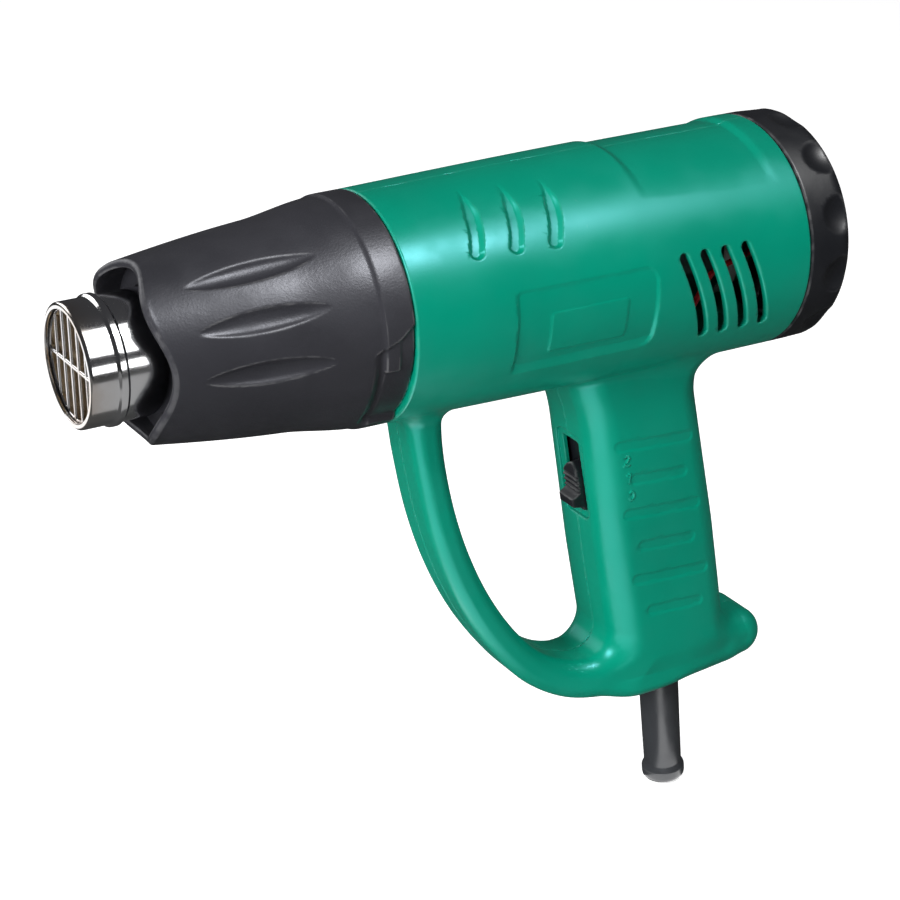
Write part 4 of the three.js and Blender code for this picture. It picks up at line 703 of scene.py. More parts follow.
def mesh_of(name, field, low, high, cell, adaptivity, mirrored=False):
    """Meshes a distance field, lays its points on the surface and takes the normals from the field."""
    low, high = np.asarray(low, float), np.asarray(high, float)
    count = np.ceil((high - low) / cell).astype(int) + 1
    x, y, z = (low[i] + cell * np.arange(count[i]) for i in range(3))
    values = field(x[:, None, None], y[None, :, None], z[None, None, :]) / cell
    values = np.ascontiguousarray(np.broadcast_to(np.clip(values, -3, 3), count), dtype=np.float32)
    grid = openvdb.FloatGrid(3.0)
    grid.copyFromArray(values)
    points, triangles, quads = grid.convertToPolygons(isovalue=0.0, adaptivity=adaptivity)
    points = points.astype(float) * cell + low
    for _ in range(2):
        value, slope = slope_of(field, points, 0.02)
        square = np.maximum((slope**2).sum(1), 0.05)
        move = np.clip(value / square, -0.4 * cell, 0.4 * cell)
        points = points - slope * move[:, None]
    slope = slope_of(field, points, 0.04)[1]
    normals = slope / np.maximum(np.linalg.norm(slope, axis=1), 1e-9)[:, None]
    faces = [tuple(f) for f in quads.tolist()] + [tuple(f) for f in triangles.tolist()]
    first = np.array([f[:3] for f in faces])
    a, b, c = (points[first[:, i]] for i in range(3))
    outward = np.cross(b - a, c - a)
    if ((outward * normals[first[:, 0]]).sum(1) < 0).mean() > 0.5:
        faces = [f[::-1] for f in faces]
    if mirrored:
        points, normals = points * (1, -1, 1), normals * (1, -1, 1)
        faces = [f[::-1] for f in faces]
    mesh = bpy.data.meshes.new(name)
    mesh.from_pydata((points * MM).tolist(), [], faces)
    mesh.validate()
    mesh.shade_smooth()
    mesh.normals_split_custom_set_from_vertices(normals.tolist())
    mark_edges(mesh)
    return mesh


def mark_edges(mesh):
    """Stores how sharply the mesh bends outward at each point, per millimetre, for the lighter edges: partly
    rubbing, partly painted highlight.
    """

    def read(items, name, kind, width):
        values = np.empty(len(items) * width, kind)
        items.foreach_get(name, values)
        return values.reshape(-1, width) if width > 1 else values

    points = read(mesh.vertices, "co", np.float32, 3).astype(float) / MM
    ends = read(mesh.edges, "vertices", np.int32, 2)
    normals = read(mesh.polygons, "normal", np.float32, 3).astype(float)
    centres = read(mesh.polygons, "center", np.float32, 3).astype(float) / MM
    areas = read(mesh.polygons, "area", np.float32, 1).astype(float) / MM**2
    corners = read(mesh.polygons, "loop_total", np.int32, 1)
    corner_edge = read(mesh.loops, "edge_index", np.int32, 1)
    corner_point = read(mesh.loops, "vertex_index", np.int32, 1)
    corner_face = np.repeat(np.arange(len(corners)), corners)
    shared = np.bincount(corner_edge, minlength=len(ends)) == 2
    order = np.argsort(corner_edge, kind="stable")
    order = order[shared[corner_edge[order]]]
    first, second = corner_face[order[0::2]], corner_face[order[1::2]]
    ends = ends[corner_edge[order[0::2]]]
    turn = np.arccos(np.clip((normals[first] * normals[second]).sum(1), -1, 1))
    convex = ((centres[second] - centres[first]) * normals[first]).sum(1) < 0
    bend = np.where(convex, turn, -turn) * np.linalg.norm(points[ends[:, 0]] - points[ends[:, 1]], axis=1)
    total = np.zeros(len(points))
    for end in range(2):
        total += np.bincount(ends[:, end], bend, len(points))
    area = np.bincount(corner_point, (areas / corners)[corner_face], len(points))
    edge = mesh.attributes.new("edge", "FLOAT", "POINT")
    edge.data.foreach_set("value", (total / np.maximum(2 * area, 1e-6)).astype(np.float32))


def rounded_outline(corners, steps=5):
    """Replaces each corner (along, radius, rounding) of a closed outline by an arc."""
    made = []
    count = len(corners)
    for i, (along, radius, rounding) in enumerate(corners):
        here = np.array([along, radius], float)
        if rounding <= 0:
            made.append(here)
            continue
        before = np.array(corners[i - 1][:2], float) - here
        after = np.array(corners[(i + 1) % count][:2], float) - here
        before, after = before / np.linalg.norm(before), after / np.linalg.norm(after)
        half = math.acos(float(np.clip(before @ after, -0.9999, 0.9999))) / 2
        back = rounding / math.tan(half)
        start, end = here + before * back, here + after * back
        for share in np.linspace(0, 1, steps):
            made.append((1 - share) ** 2 * start + 2 * share * (1 - share) * here + share**2 * end)
    return made


def ring_mesh(name, rings, sharp_angle=40):
    """A closed skin over points set in rows and columns that both run back to their start."""
    rows, columns = rings.shape[:2]
    index = np.arange(rows * columns).reshape(rows, columns)
    below, beside = np.roll(index, -1, 0), np.roll(index, -1, 1)
    faces = np.stack([index, beside, np.roll(below, -1, 1), below], axis=-1).reshape(-1, 4)
    points = rings.reshape(-1, 3) * MM
    a, b, c, d = (points[faces[:, i]] for i in range(4))
    volume = (a * (np.cross(b, c) + np.cross(c, d))).sum()
    if volume < 0:
        faces = faces[:, ::-1]
    mesh = bpy.data.meshes.new(name)
    mesh.from_pydata(points.tolist(), [], faces.tolist())
    mesh.validate()
    mesh.shade_smooth()
    mesh.set_sharp_from_angle(angle=math.radians(sharp_angle))
    mark_edges(mesh)
    return mesh


def turned_mesh(name, outline, sides, place):
    """Turns an outline of (along, radius) round its axis. place gives a point from along, side and up."""
    turn = np.linspace(0, 2 * math.pi, sides, endpoint=False)
    rings = []
    for along, radius in outline:
        side, up = radius * np.sin(turn), radius * np.cos(turn)
        rings.append(np.stack(place(np.full_like(turn, along), side, up), -1))
    return ring_mesh(name, np.array(rings))


def along_barrel(along, side, up):
    return along, side, up


def along_sleeve(along, side, up):
    x, z = lean_point(up, along, SLEEVE_X, SLEEVE_Z, SLEEVE_LEAN)
    return x, side, z


def add_piece(mesh, material, body, node):
    """Sets a mesh in the scene in place of a frame node, on its body and with its material slot."""
    piece = bpy.data.objects.new(mesh.name, mesh)
    bpy.context.scene.collection.objects.link(piece)
    mesh.materials.append(material)
    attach(piece, body)
    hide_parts(node)


# Shader node groups


def new_group(name, inputs, outputs):
    group = bpy.data.node_groups.new(name, "ShaderNodeTree")
    for label, value in inputs:
        socket = group.interface.new_socket(label, in_out="INPUT", socket_type="NodeSocketFloat")
        socket.default_value = value
    for label in outputs:
        group.interface.new_socket(label, in_out="OUTPUT", socket_type="NodeSocketFloat")
    start = group.nodes.new("NodeGroupInput")
    end = group.nodes.new("NodeGroupOutput")
    return group, start, end


def noise(tree, vector, scale, detail=4.0):
    made = tree.nodes.new("ShaderNodeTexNoise")
    made.inputs["Detail"].default_value = detail
    tree.links.new(vector, made.inputs["Vector"])
    if isinstance(scale, (int, float)):
        made.inputs["Scale"].default_value = scale
    else:
        tree.links.new(scale, made.inputs["Scale"])
    return made.outputs["Fac"]


def math_node(tree, operation, first, second):
    made = tree.nodes.new("ShaderNodeMath")
    made.operation = operation
    for socket, value in zip(made.inputs, (first, second)):
        if isinstance(value, (int, float)):
            socket.default_value = value
        else:
            tree.links.new(value, socket)
    return made.outputs[0]


def map_range(tree, value, low, high, to_low, to_high):
    made = tree.nodes.new("ShaderNodeMapRange")
    made.interpolation_type = "SMOOTHSTEP"
    for socket, item in zip(made.inputs, (value, low, high, to_low, to_high)):
        if isinstance(item, (int, float)):
            socket.default_value = item
        else:
            tree.links.new(item, socket)
    return made.outputs["Result"]


def grain_group():
    """Moulded grain: fine pits for the bump, and slow changes of tone and gloss."""
    group, start, end = new_group(
        "moulded grain", [("Grain", 1500.0), ("Cloud", 30.0)], ["Height", "Tone", "Gloss"]
    )
    place = group.nodes.new("ShaderNodeTexCoord").outputs["Object"]
    pits = noise(group, place, start.outputs["Grain"], 3.0)
    coarse = noise(group, place, math_node(group, "MULTIPLY", start.outputs["Grain"], 0.33), 2.0)
    height = math_node(group, "ADD", pits, math_node(group, "MULTIPLY", coarse, 0.8))
    group.links.new(height, end.inputs["Height"])
    cloud = noise(group, place, start.outputs["Cloud"], 5.0)
    group.links.new(map_range(group, cloud, 0.3, 0.7, 0.0, 1.0), end.inputs["Tone"])
    smear = noise(group, place, math_node(group, "MULTIPLY", start.outputs["Cloud"], 2.6), 6.0)
    group.links.new(map_range(group, smear, 0.35, 0.7, 0.0, 1.0), end.inputs["Gloss"])
    return group


def wear_and_highlight_group():
    """Lighter outer edges: a mask on outer edges, broken up by noise. It stands partly for rubbing and partly
    for a painted highlight along rounded edges.
    """
    group, start, end = new_group("edge wear", [("Start", 0.25), ("Full", 1.2), ("Breakup", 260.0)], ["Mask"])
    place = group.nodes.new("ShaderNodeTexCoord").outputs["Object"]
    edge = group.nodes.new("ShaderNodeAttribute")
    edge.attribute_name = "edge"
    worn_and_lit = map_range(group, edge.outputs["Fac"], start.outputs["Start"], start.outputs["Full"], 0.0, 1.0)
    broken = map_range(group, noise(group, place, start.outputs["Breakup"], 5.0), 0.38, 0.62, 0.15, 1.0)
    group.links.new(math_node(group, "MULTIPLY", worn_and_lit, broken), end.inputs["Mask"])
    return group


def lines_group():
    """Drawn or turned metal: fine lines stretched along one axis."""
    group, start, end = new_group(
        "drawn lines", [("Fineness", 900.0), ("Stretch", 0.03)], ["Height", "Gloss"]
    )
    place = group.nodes.new("ShaderNodeTexCoord").outputs["Object"]
    mapping = group.nodes.new("ShaderNodeVectorMath")
    mapping.operation = "MULTIPLY"
    squeeze = group.nodes.new("ShaderNodeCombineXYZ")
    squeeze.inputs["X"].default_value = 1.0
    group.links.new(start.outputs["Stretch"], squeeze.inputs["Y"])
    group.links.new(start.outputs["Stretch"], squeeze.inputs["Z"])
    group.links.new(place, mapping.inputs[0])
    group.links.new(squeeze.outputs[0], mapping.inputs[1])
    lines = noise(group, mapping.outputs[0], start.outputs["Fineness"], 4.0)
    group.links.new(lines, end.inputs["Height"])
    smear = noise(group, place, 70.0, 5.0)
    group.links.new(map_range(group, smear, 0.3, 0.7, 0.0, 1.0), end.inputs["Gloss"])
    return group


def group_node(tree, name, values):
    made = tree.nodes.new("ShaderNodeGroup")
    made.node_tree = bpy.data.node_groups[name]
    for label, value in values.items():
        made.inputs[label].default_value = value
    return made


def mix_colour(tree, share, first, second):
    made = tree.nodes.new("ShaderNodeMix")
    made.data_type = "RGBA"
    tree.links.new(share, made.inputs["Factor"])
    for socket, value in ((made.inputs["A"], first), (made.inputs["B"], second)):
        if isinstance(value, bpy.types.NodeSocket):
            tree.links.new(value, socket)
        else:
            socket.default_value = value
    return made.outputs["Result"]


def shade(colour, times):
    return [min(1.0, c * times) for c in colour[:3]] + [1.0]


def start_material(name):
    material = bpy.data.materials.new(name)
    material.use_nodes = True
    tree = material.node_tree
    return material, tree, tree.nodes["Principled BSDF"]


def bump(tree, shader, height, distance, strength):
    made = tree.nodes.new("ShaderNodeBump")
    made.inputs["Distance"].default_value = distance
    made.inputs["Strength"].default_value = strength
    tree.links.new(height, made.inputs["Height"])
    tree.links.new(made.outputs["Normal"], shader.inputs["Normal"])


def moulded(name, colour, gloss, grain, cloud, depth, tone=0.1, wear_and_highlight=0.35, sheen=(1, 1, 1, 1)):
    """A moulded plastic or rubber: grain, slow tone changes, uneven gloss and lighter outer edges, which are
    partly rubbing and partly a painted highlight.
    """
    material, tree, shader = start_material(name)
    skin = group_node(tree, "moulded grain", {"Grain": grain, "Cloud": cloud})
    edge = group_node(tree, "edge wear", {})
    body = mix_colour(tree, skin.outputs["Tone"], shade(colour, 1 - tone), shade(colour, 1 + tone))
    worn_and_lit = math_node(tree, "MULTIPLY", edge.outputs["Mask"], wear_and_highlight)
    # Outer edges are mixed toward this paler tint: partly rubbing, partly a painted highlight.
    pale = [lerp(c, 0.6, 0.22) for c in colour[:3]] + [1.0]
    tree.links.new(mix_colour(tree, worn_and_lit, body, pale), shader.inputs["Base Color"])
    rough = map_range(tree, skin.outputs["Gloss"], 0.0, 1.0, gloss - 0.05, gloss + 0.05)
    tree.links.new(rough, shader.inputs["Roughness"])
    shader.inputs["Specular Tint"].default_value = sheen
    bump(tree, shader, skin.outputs["Height"], depth, 0.35)
    return material


def metal(name, colour, gloss, fineness=900.0, stretch=0.03, depth=0.00002, tone=0.12):
    """A drawn, turned or plated metal with fine lines and uneven gloss."""
    material, tree, shader = start_material(name)
    lines = group_node(tree, "drawn lines", {"Fineness": fineness, "Stretch": stretch})
    body = mix_colour(tree, lines.outputs["Gloss"], shade(colour, 1 - tone), shade(colour, 1 + tone))
    tree.links.new(body, shader.inputs["Base Color"])
    rough = map_range(tree, lines.outputs["Gloss"], 0.0, 1.0, max(0.02, gloss - 0.04), gloss + 0.05)
    tree.links.new(rough, shader.inputs["Roughness"])
    shader.inputs["Metallic"].default_value = 1.0
    bump(tree, shader, lines.outputs["Height"], depth, 0.25)
    return material


def tinted_steel(name, colour, hot_colour, gloss):
    """Polished steel with a faint heat tint that grows toward the mouth of the tube."""
    material, tree, shader = start_material(name)
    lines = group_node(tree, "drawn lines", {"Fineness": 1400.0, "Stretch": 0.02})
    place = tree.nodes.new("ShaderNodeTexCoord").outputs["Object"]
    along = tree.nodes.new("ShaderNodeSeparateXYZ")
    tree.links.new(place, along.inputs[0])
    heat = map_range(tree, along.outputs["X"], (NOZZLE_TIP + 9) * MM, NOZZLE_TIP * MM, 0.0, 0.55)
    patchy = math_node(tree, "MULTIPLY", heat, lines.outputs["Gloss"])
    tree.links.new(mix_colour(tree, patchy, colour, hot_colour), shader.inputs["Base Color"])
    rough = map_range(tree, lines.outputs["Gloss"], 0.0, 1.0, gloss, gloss + 0.06)
    tree.links.new(rough, shader.inputs["Roughness"])
    shader.inputs["Metallic"].default_value = 1.0
    bump(tree, shader, lines.outputs["Height"], 0.00001, 0.12)
    return material


# Sizes and colours that a user would change


def length_of(name, description, default):
    return FloatProperty(name=name, description=description, default=default, unit="LENGTH", precision=5)


def colour_of(name, description, default):
    return FloatVectorProperty(
        name=name, description=description, default=default, size=4, min=0, max=1, subtype="COLOR"
    )


class HousingSizes(bpy.types.PropertyGroup):
    wall: length_of("Wall", "Wall thickness of the moulded halves", 0.0024)
    seam: length_of("Seam", "Gap between the two halves", 0.0001)
    saddle_depth: length_of("Saddle depth", "How far the top of the rear barrel is flattened", 0.0015)
    groove_depth: length_of("Finger groove depth", "Depth of the grooves at the front of the barrel", 0.0012)
    label_depth: length_of("Label recess depth", "Depth of the bare panel on each side", 0.001)
    pad_depth: length_of("Grip groove depth", "Depth of the grooves across the grip", 0.0003)
    vent_width: length_of("Vent width", "Width of the slanted slots", 0.003)
    rear_fillet: length_of("Rear fillet", "Fillet between barrel and grip at the rear", 0.006)
    guard_fillet: length_of("Guard fillet", "Fillet between barrel and guard", 0.0045)
    web_fillet: length_of("Web fillet", "Fillet between guard and grip", 0.009)
    spur_fillet: length_of("Spur fillet", "Fillet between spur and grip", 0.0045)
    cell: length_of("Cell", "Size of the meshing cells", 0.0005)


class ShieldSizes(bpy.types.PropertyGroup):
    wall: length_of("Wall", "Wall thickness of the heat shield", 0.0024)
    wave: length_of("Wave", "Half height of the wave round the mouth", 0.002)
    dimple_depth: length_of("Dimple depth", "Depth of the long dimples", 0.0015)
    notch_depth: length_of("Notch depth", "Depth of the finger notch at the rear", 0.0018)


class NozzleSizes(bpy.types.PropertyGroup):
    radius: length_of("Radius", "Outside radius of the tube", 0.0177)
    bead_height: length_of("Bead height", "Height of the rolled bead", 0.0008)
    bars: IntProperty(name="Bars", description="Upright bars of the grille", default=5, min=1, max=9)
    bar_pitch: length_of("Bar pitch", "Spacing of the upright bars", 0.0052)


class FinishColours(bpy.types.PropertyGroup):
    green: colour_of("Green", "Housing plastic", (0.0, 0.235, 0.147, 1))
    green_sheen: colour_of("Green sheen", "Tint of the housing's highlights", (0.25, 0.8, 1.0, 1))
    grey: colour_of("Grey", "Heat shield plastic", (0.026, 0.026, 0.031, 1))
    black: colour_of("Black", "Rear cap and slider plastic", (0.010, 0.011, 0.014, 1))
    rubber: colour_of("Rubber", "Cord sleeve", (0.03, 0.032, 0.036, 1))
    steel: colour_of("Steel", "Polished tube", (0.86, 0.86, 0.87, 1))
    heat_tint: colour_of("Heat tint", "Tint of the hot end of the tube", (0.62, 0.5, 0.4, 1))


class StageSettings(bpy.types.PropertyGroup):
    eye: FloatVectorProperty(
        name="Camera", description="Camera position", default=(-0.443576, -0.554085, 0.230732),
        subtype="TRANSLATION", unit="LENGTH", precision=5,
    )
    target: FloatVectorProperty(
        name="Target", description="Point the camera looks at", default=(-0.122249, 0.0, -0.051649),
        subtype="TRANSLATION", unit="LENGTH", precision=5,
    )
    roll: FloatProperty(name="Roll", description="Camera roll", default=math.radians(-0.42), subtype="ANGLE")
    lens: FloatProperty(name="Lens", description="Focal length in millimetres", default=92.82)
    key: FloatProperty(name="Key light", description="Power of the key light in watts", default=5.2)
    fill: FloatProperty(name="Fill light", description="Power of the fill light in watts", default=22.0)
    corner_card: FloatProperty(
        name="Corner card", description="Power of the card that lights the grip's corner", default=0.75
    )
    back: FloatProperty(name="Back light", description="Power of the back light in watts", default=4.0)
    sky: FloatProperty(name="Sky", description="Strength of the surrounding light", default=0.2)


def materials_ready():
    if "moulded grain" not in bpy.data.node_groups:
        grain_group()
        wear_and_highlight_group()
        lines_group()


def finish(name):
    """The named finish, made when it is first asked for."""
    if name in bpy.data.materials:
        return bpy.data.materials[name]
    materials_ready()
    colours = bpy.context.scene.hot_air_colours
    if name == "green moulding":
        return moulded(
            name, list(colours.green), gloss=0.335, grain=1300.0, cloud=24.0, depth=0.00003,
            tone=0.05, wear_and_highlight=0.12, sheen=colours.green_sheen,
        )
    # The grey's strong edge lightening paints a highlight along the shield's rounded lip.
    if name == "grey spark texture":
        return moulded(
            name, list(colours.grey), gloss=0.44, grain=1500.0, cloud=30.0, depth=0.00012,
            wear_and_highlight=0.5, sheen=(0.9, 0.92, 1, 1),
        )
    if name == "black moulding":
        return moulded(
            name, list(colours.black), gloss=0.42, grain=1700.0, cloud=30.0, depth=0.00004,
            tone=0.12, wear_and_highlight=0.4,
        )
    if name == "black rubber":
        return moulded(
            name, list(colours.rubber), gloss=0.34, grain=1100.0, cloud=40.0, depth=0.00005,
            tone=0.12, wear_and_highlight=0.3,
        )
    if name == "polished steel":
        return tinted_steel(name, list(colours.steel), list(colours.heat_tint), 0.11)
    if name == "heat tinted steel":
        return tinted_steel(name, list(colours.steel), list(colours.heat_tint), 0.2)
    raise ValueError(f"no finish is named {name}")


class BuildHousing(bpy.types.Operator):
    """Moulds the two housing halves, with their vents, grooves, guard and foot"""

    bl_idname = "hot_air_tool.build_housing"
    bl_label = "Build housing"

    def execute(self, context):
        sizes = context.scene.hot_air_housing
        cell = sizes.cell / MM * 1
        low = (SHIELD_SEAM - SPIGOT - 2, -2, -154)
        high = (CAP_SEAM + SPIGOT + 9, 40, 40)
        core = housing_core(sizes)
        for name, right in (("housing_left", False), ("housing_right", True)):
            field = housing_field(core, sizes.seam / MM, right)
            mesh = mesh_of(name + "_shell", field, low, high, cell, 0.004, mirrored=not right)
            add_piece(mesh, finish("green moulding"), "housing", name)
        return {"FINISHED"}


class BuildRearCap(bpy.types.Operator):
    """Moulds the scalloped rear cap with its intake slots"""

    bl_idname = "hot_air_tool.build_rear_cap"
    bl_label = "Build rear cap"

    def execute(self, context):
        cell = 0.5
        mesh = mesh_of("rear_cap_shell", cap_field, (CAP_SEAM - 2, -39, -39), (2, 39, 39), cell, 0.004)
        add_piece(mesh, finish("black moulding"), "housing", "rear_cap")
        return {"FINISHED"}


class BuildHeatShield(bpy.types.Operator):
    """Moulds the tapered heat shield with its wavy mouth and dimples"""

    bl_idname = "hot_air_tool.build_heat_shield"
    bl_label = "Build heat shield"

    def execute(self, context):
        sizes = context.scene.hot_air_shield
        columns, rows = ((420, 130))
        mesh = ring_mesh("heat_shield_shell", shield_rings(sizes, columns, rows), 75)
        add_piece(mesh, finish("grey spark texture"), "housing", "heat_shield")
        return {"FINISHED"}


class BuildNozzle(bpy.types.Operator):
    """Turns the steel tube with its bead and rolled lip, and sets the grille in its mouth"""

    bl_idname = "hot_air_tool.build_nozzle"
    bl_label = "Build nozzle"

    def execute(self, context):
        sizes = context.scene.hot_air_nozzle
        radius, rise = sizes.radius / MM, sizes.bead_height / MM
        wall, lip, taper = 0.8, 1.9, 15
        inner = radius - wall
        bead = NOZZLE_TIP + 9.4
        flange, thick = SHIELD_SEAM + 18, 1.2
        cone_end, flange_radius = 26, 30
        tube = rounded_outline(
            [
                (NOZZLE_TIP, radius - lip, 0.3),
                (NOZZLE_TIP, radius, 0.95),
                (bead - 1.6, radius, 0.4),
                (bead - 0.9, radius + rise, 0.5),
                (bead + 0.9, radius + rise, 0.5),
                (bead + 1.6, radius, 0.4),
                (flange - taper, radius, 1.0),
                (flange, cone_end, 0.5),
                (flange, flange_radius, 0.2),
                (flange + thick, flange_radius, 0.2),
                (flange + thick, cone_end - wall, 0.5),
                (flange - taper, inner, 1.0),
                (NOZZLE_TIP + 1, inner, 0.2),
                (NOZZLE_TIP + 1, radius - lip, 0.3),
            ]
        )
        mesh = turned_mesh("nozzle_tube_turned", tube, 128, along_barrel)
        add_piece(mesh, finish("polished steel"), "housing", "nozzle_tube")

        rim = inner - CLEARANCE
        front, rear = NOZZLE_TIP + 1.3, NOZZLE_TIP + 3.3
        cross_half, bar_half, ring_half = 0.7, 0.75, 0.7

        def grille(x, y, z):
            around = np.hypot(y, z)
            bars = np.abs(z) - cross_half
            for i in range(sizes.bars):
                place = (i - (sizes.bars - 1) / 2) * sizes.bar_pitch / MM
                bars = np.minimum(bars, np.abs(y - place) - bar_half)
            bars = np.maximum(bars, around - rim + 0.5)
            whole = fuse(bars, np.abs(around - rim + ring_half) - ring_half, 0.5)
            return trim(whole, np.maximum(front - x, x - rear), 0.45)

        cell = 0.28
        mesh = mesh_of("nozzle_grille_bars", grille, (front - 1, -18, -18), (rear + 1, 18, 18), cell, 0.05)
        add_piece(mesh, finish("heat tinted steel"), "housing", "nozzle_grille")
        return {"FINISHED"}


class BuildSwitch(bpy.types.Operator):
    """Moulds the slide switch's thumb piece"""

    bl_idname = "hot_air_tool.build_switch"
    bl_label = "Build switch"

    def execute(self, context):
        low, high = span("switch_slider")
        margin = np.array([3.0, 2.0, 2.0])
        cell = 0.2
        mesh = mesh_of("switch_thumb", thumb_field, low - margin, high + margin, cell, 0.05)
        add_piece(mesh, finish("black moulding"), "slider", "switch_slider")
        return {"FINISHED"}


class BuildSleeve(bpy.types.Operator):
    """Turns the rubber sleeve that guards the cord where it leaves the foot"""

    bl_idname = "hot_air_tool.build_sleeve"
    bl_label = "Build cord sleeve"

    def execute(self, context):
        top, under, end, bulb = 6.8, 4.3, -42, 7.2
        outline = rounded_outline(
            [
                (top, SLEEVE_BORE, 0.3),
                (top, SLEEVE_FLANGE, 0.4),
                (under, SLEEVE_FLANGE, 0.4),
                (under, SLEEVE_RADIUS, 0.3),
                (0, SLEEVE_RADIUS, 0),
                (end + 6, SLEEVE_RADIUS - 0.4, 1.2),
                (end + 4, bulb, 1.0),
                (end, bulb, 2.0),
                (end, SLEEVE_BORE + 0.3, 0.5),
                (end + 2, SLEEVE_BORE, 0.3),
            ]
        )
        mesh = turned_mesh("cord_sleeve_turned", outline, 72, along_sleeve)
        add_piece(mesh, finish("black rubber"), "housing", "cord_sleeve")
        return {"FINISHED"}


class BuildScrews(bpy.types.Operator):
    """Sets the six cross-head screws in the right half"""

    bl_idname = "hot_air_tool.build_screws"
    bl_label = "Build screws"

    def execute(self, context):
        steel = metal("plated screw", [0.62, 0.62, 0.6], 0.3, 1600.0, 0.5)
        shared = mesh_of("housing_screw", screw_field, (-4, -14, -4), (4, 4, 4), 0.22, 0.05)
        for i, (x, z) in enumerate(SCREWS):
            mesh = shared.copy()
            mesh.name = f"housing_screw_{i + 1}_head"
            mesh.transform(Matrix.Translation(Vector((x, SCREW_SEAT + CLEARANCE, z)) * MM))
            add_piece(mesh, steel, "housing", f"housing_screw_{i + 1}")
        return {"FINISHED"}


class FinishInnerParts(bpy.types.Operator):
    """Gives the motor, heater and other inner pieces of the frame their finishes"""

    bl_idname = "hot_air_tool.finish_inner_parts"
    bl_label = "Finish inner parts"

    def execute(self, context):
        # Colour, gloss, then fineness, stretch and depth of the lines, and the change of tone
        # Partly own colour, partly painted shade: this plated steel is darker than plating is, so the motor
        # can and screws seen through the vents read as the shaded inside.
        steel = metal("zinc plated steel", [0.34, 0.35, 0.36], 0.42)
        dark = metal("laminated steel", [0.2, 0.2, 0.21], 0.45, 2600.0, 0.01, 0.00006)
        brass = metal("sintered brass", [0.6, 0.42, 0.16], 0.35, 1500.0, 0.6)
        copper = metal("turned copper", [0.6, 0.27, 0.13], 0.32)
        wire = metal("oxidised wire", [0.26, 0.2, 0.16], 0.5, 900.0, 0.4, 0.00003, 0.3)
        # Colour, gloss, fineness of the grain and of the clouds, depth, and the change of tone
        ferrite = moulded("pressed ferrite", [0.03, 0.03, 0.031], 0.7, 1200.0, 60.0, 0.00006)
        carbon = moulded("pressed carbon", [0.018, 0.018, 0.018], 0.6, 1600.0, 60.0, 0.00004)
        mica = moulded("mica board", [0.45, 0.36, 0.24], 0.55, 500.0, 90.0, 0.00005, 0.2)
        ceramic = moulded("fired ceramic", [0.76, 0.71, 0.6], 0.65, 900.0, 40.0, 0.00005)
        # Painted shade: the white nylon is given a mid grey, so the end cap seen through the vents stays dark
        # like the shaded inside.
        nylon = moulded("white nylon", [0.42, 0.41, 0.38], 0.45, 1400.0, 30.0, 0.00003)
        board = moulded("laminate board", [0.03, 0.1, 0.04], 0.5, 700.0, 90.0, 0.00003)
        red = moulded("red insulation", [0.45, 0.015, 0.02], 0.4, 1200.0, 50.0, 0.00002)
        blue = moulded("blue insulation", [0.02, 0.07, 0.32], 0.4, 1200.0, 50.0, 0.00002)
        black = finish("black moulding")
        shaft = finish("polished steel")
        for material, names in (
            (steel, "clamp_screw_1 clamp_screw_2 thermal_cutout motor_can motor_screw_1 motor_screw_2"),
            (dark, "armature_core"),
            (brass, "front_bush rear_bush"),
            (copper, "commutator"),
            (wire, "heating_coil"),
            (ferrite, "magnet_upper magnet_lower"),
            (carbon, "brush_upper brush_lower"),
            (mica, "heater_former mica_sleeve"),
            (ceramic, "heater_base"),
            (nylon, "motor_end_cap cord_clamp"),
            (board, "rectifier_board"),
            (red, "red_lead"),
            (blue, "blue_lead"),
            (black, "fan fan_ring switch_body"),
            (shaft, "motor_shaft"),
        ):
            for name in names.split():
                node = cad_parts[name]
                node.data.materials.clear()
                node.data.materials.append(material)
        return {"FINISHED"}


def area_light(name, place, aim, size, power, colour=(1, 1, 1), along=None):
    """A rectangular light that faces aim. along, where it is given, is the direction of its first side."""
    light = bpy.data.lights.new(name, "AREA")
    light.shape = "RECTANGLE"
    light.size, light.size_y = size
    light.energy = power
    light.color = colour
    lamp = bpy.data.objects.new(name, light)
    bpy.context.scene.collection.objects.link(lamp)
    lamp.location = place
    lamp.rotation_mode = "QUATERNION"
    facing = Vector(aim) - Vector(place)
    lamp.rotation_quaternion = facing.to_track_quat("-Z", "Y")
    if along:
        back = -facing.normalized()
        first = Vector(along) - back * back.dot(Vector(along))
        first.normalize()
        lamp.rotation_quaternion = Matrix((first, back.cross(first), back)).transposed().to_quaternion()
    return lamp


def set_camera(scene, stage):
    """The camera at the photograph's viewing angle."""
    data = bpy.data.cameras.new("photo_camera")
    data.lens, data.sensor_width = stage.lens, 36
    data.clip_start, data.clip_end = 0.01, 50
    camera = bpy.data.objects.new("photo_camera", data)
    scene.collection.objects.link(camera)
    eye, target = Vector(stage.eye), Vector(stage.target)
    turn = (target - eye).to_track_quat("-Z", "Y").to_matrix().to_4x4()
    camera.matrix_world = Matrix.Translation(eye) @ turn @ Matrix.Rotation(stage.roll, 4, "Z")
    scene.camera = camera


def grey(level):
    return [level, level, level, 1]


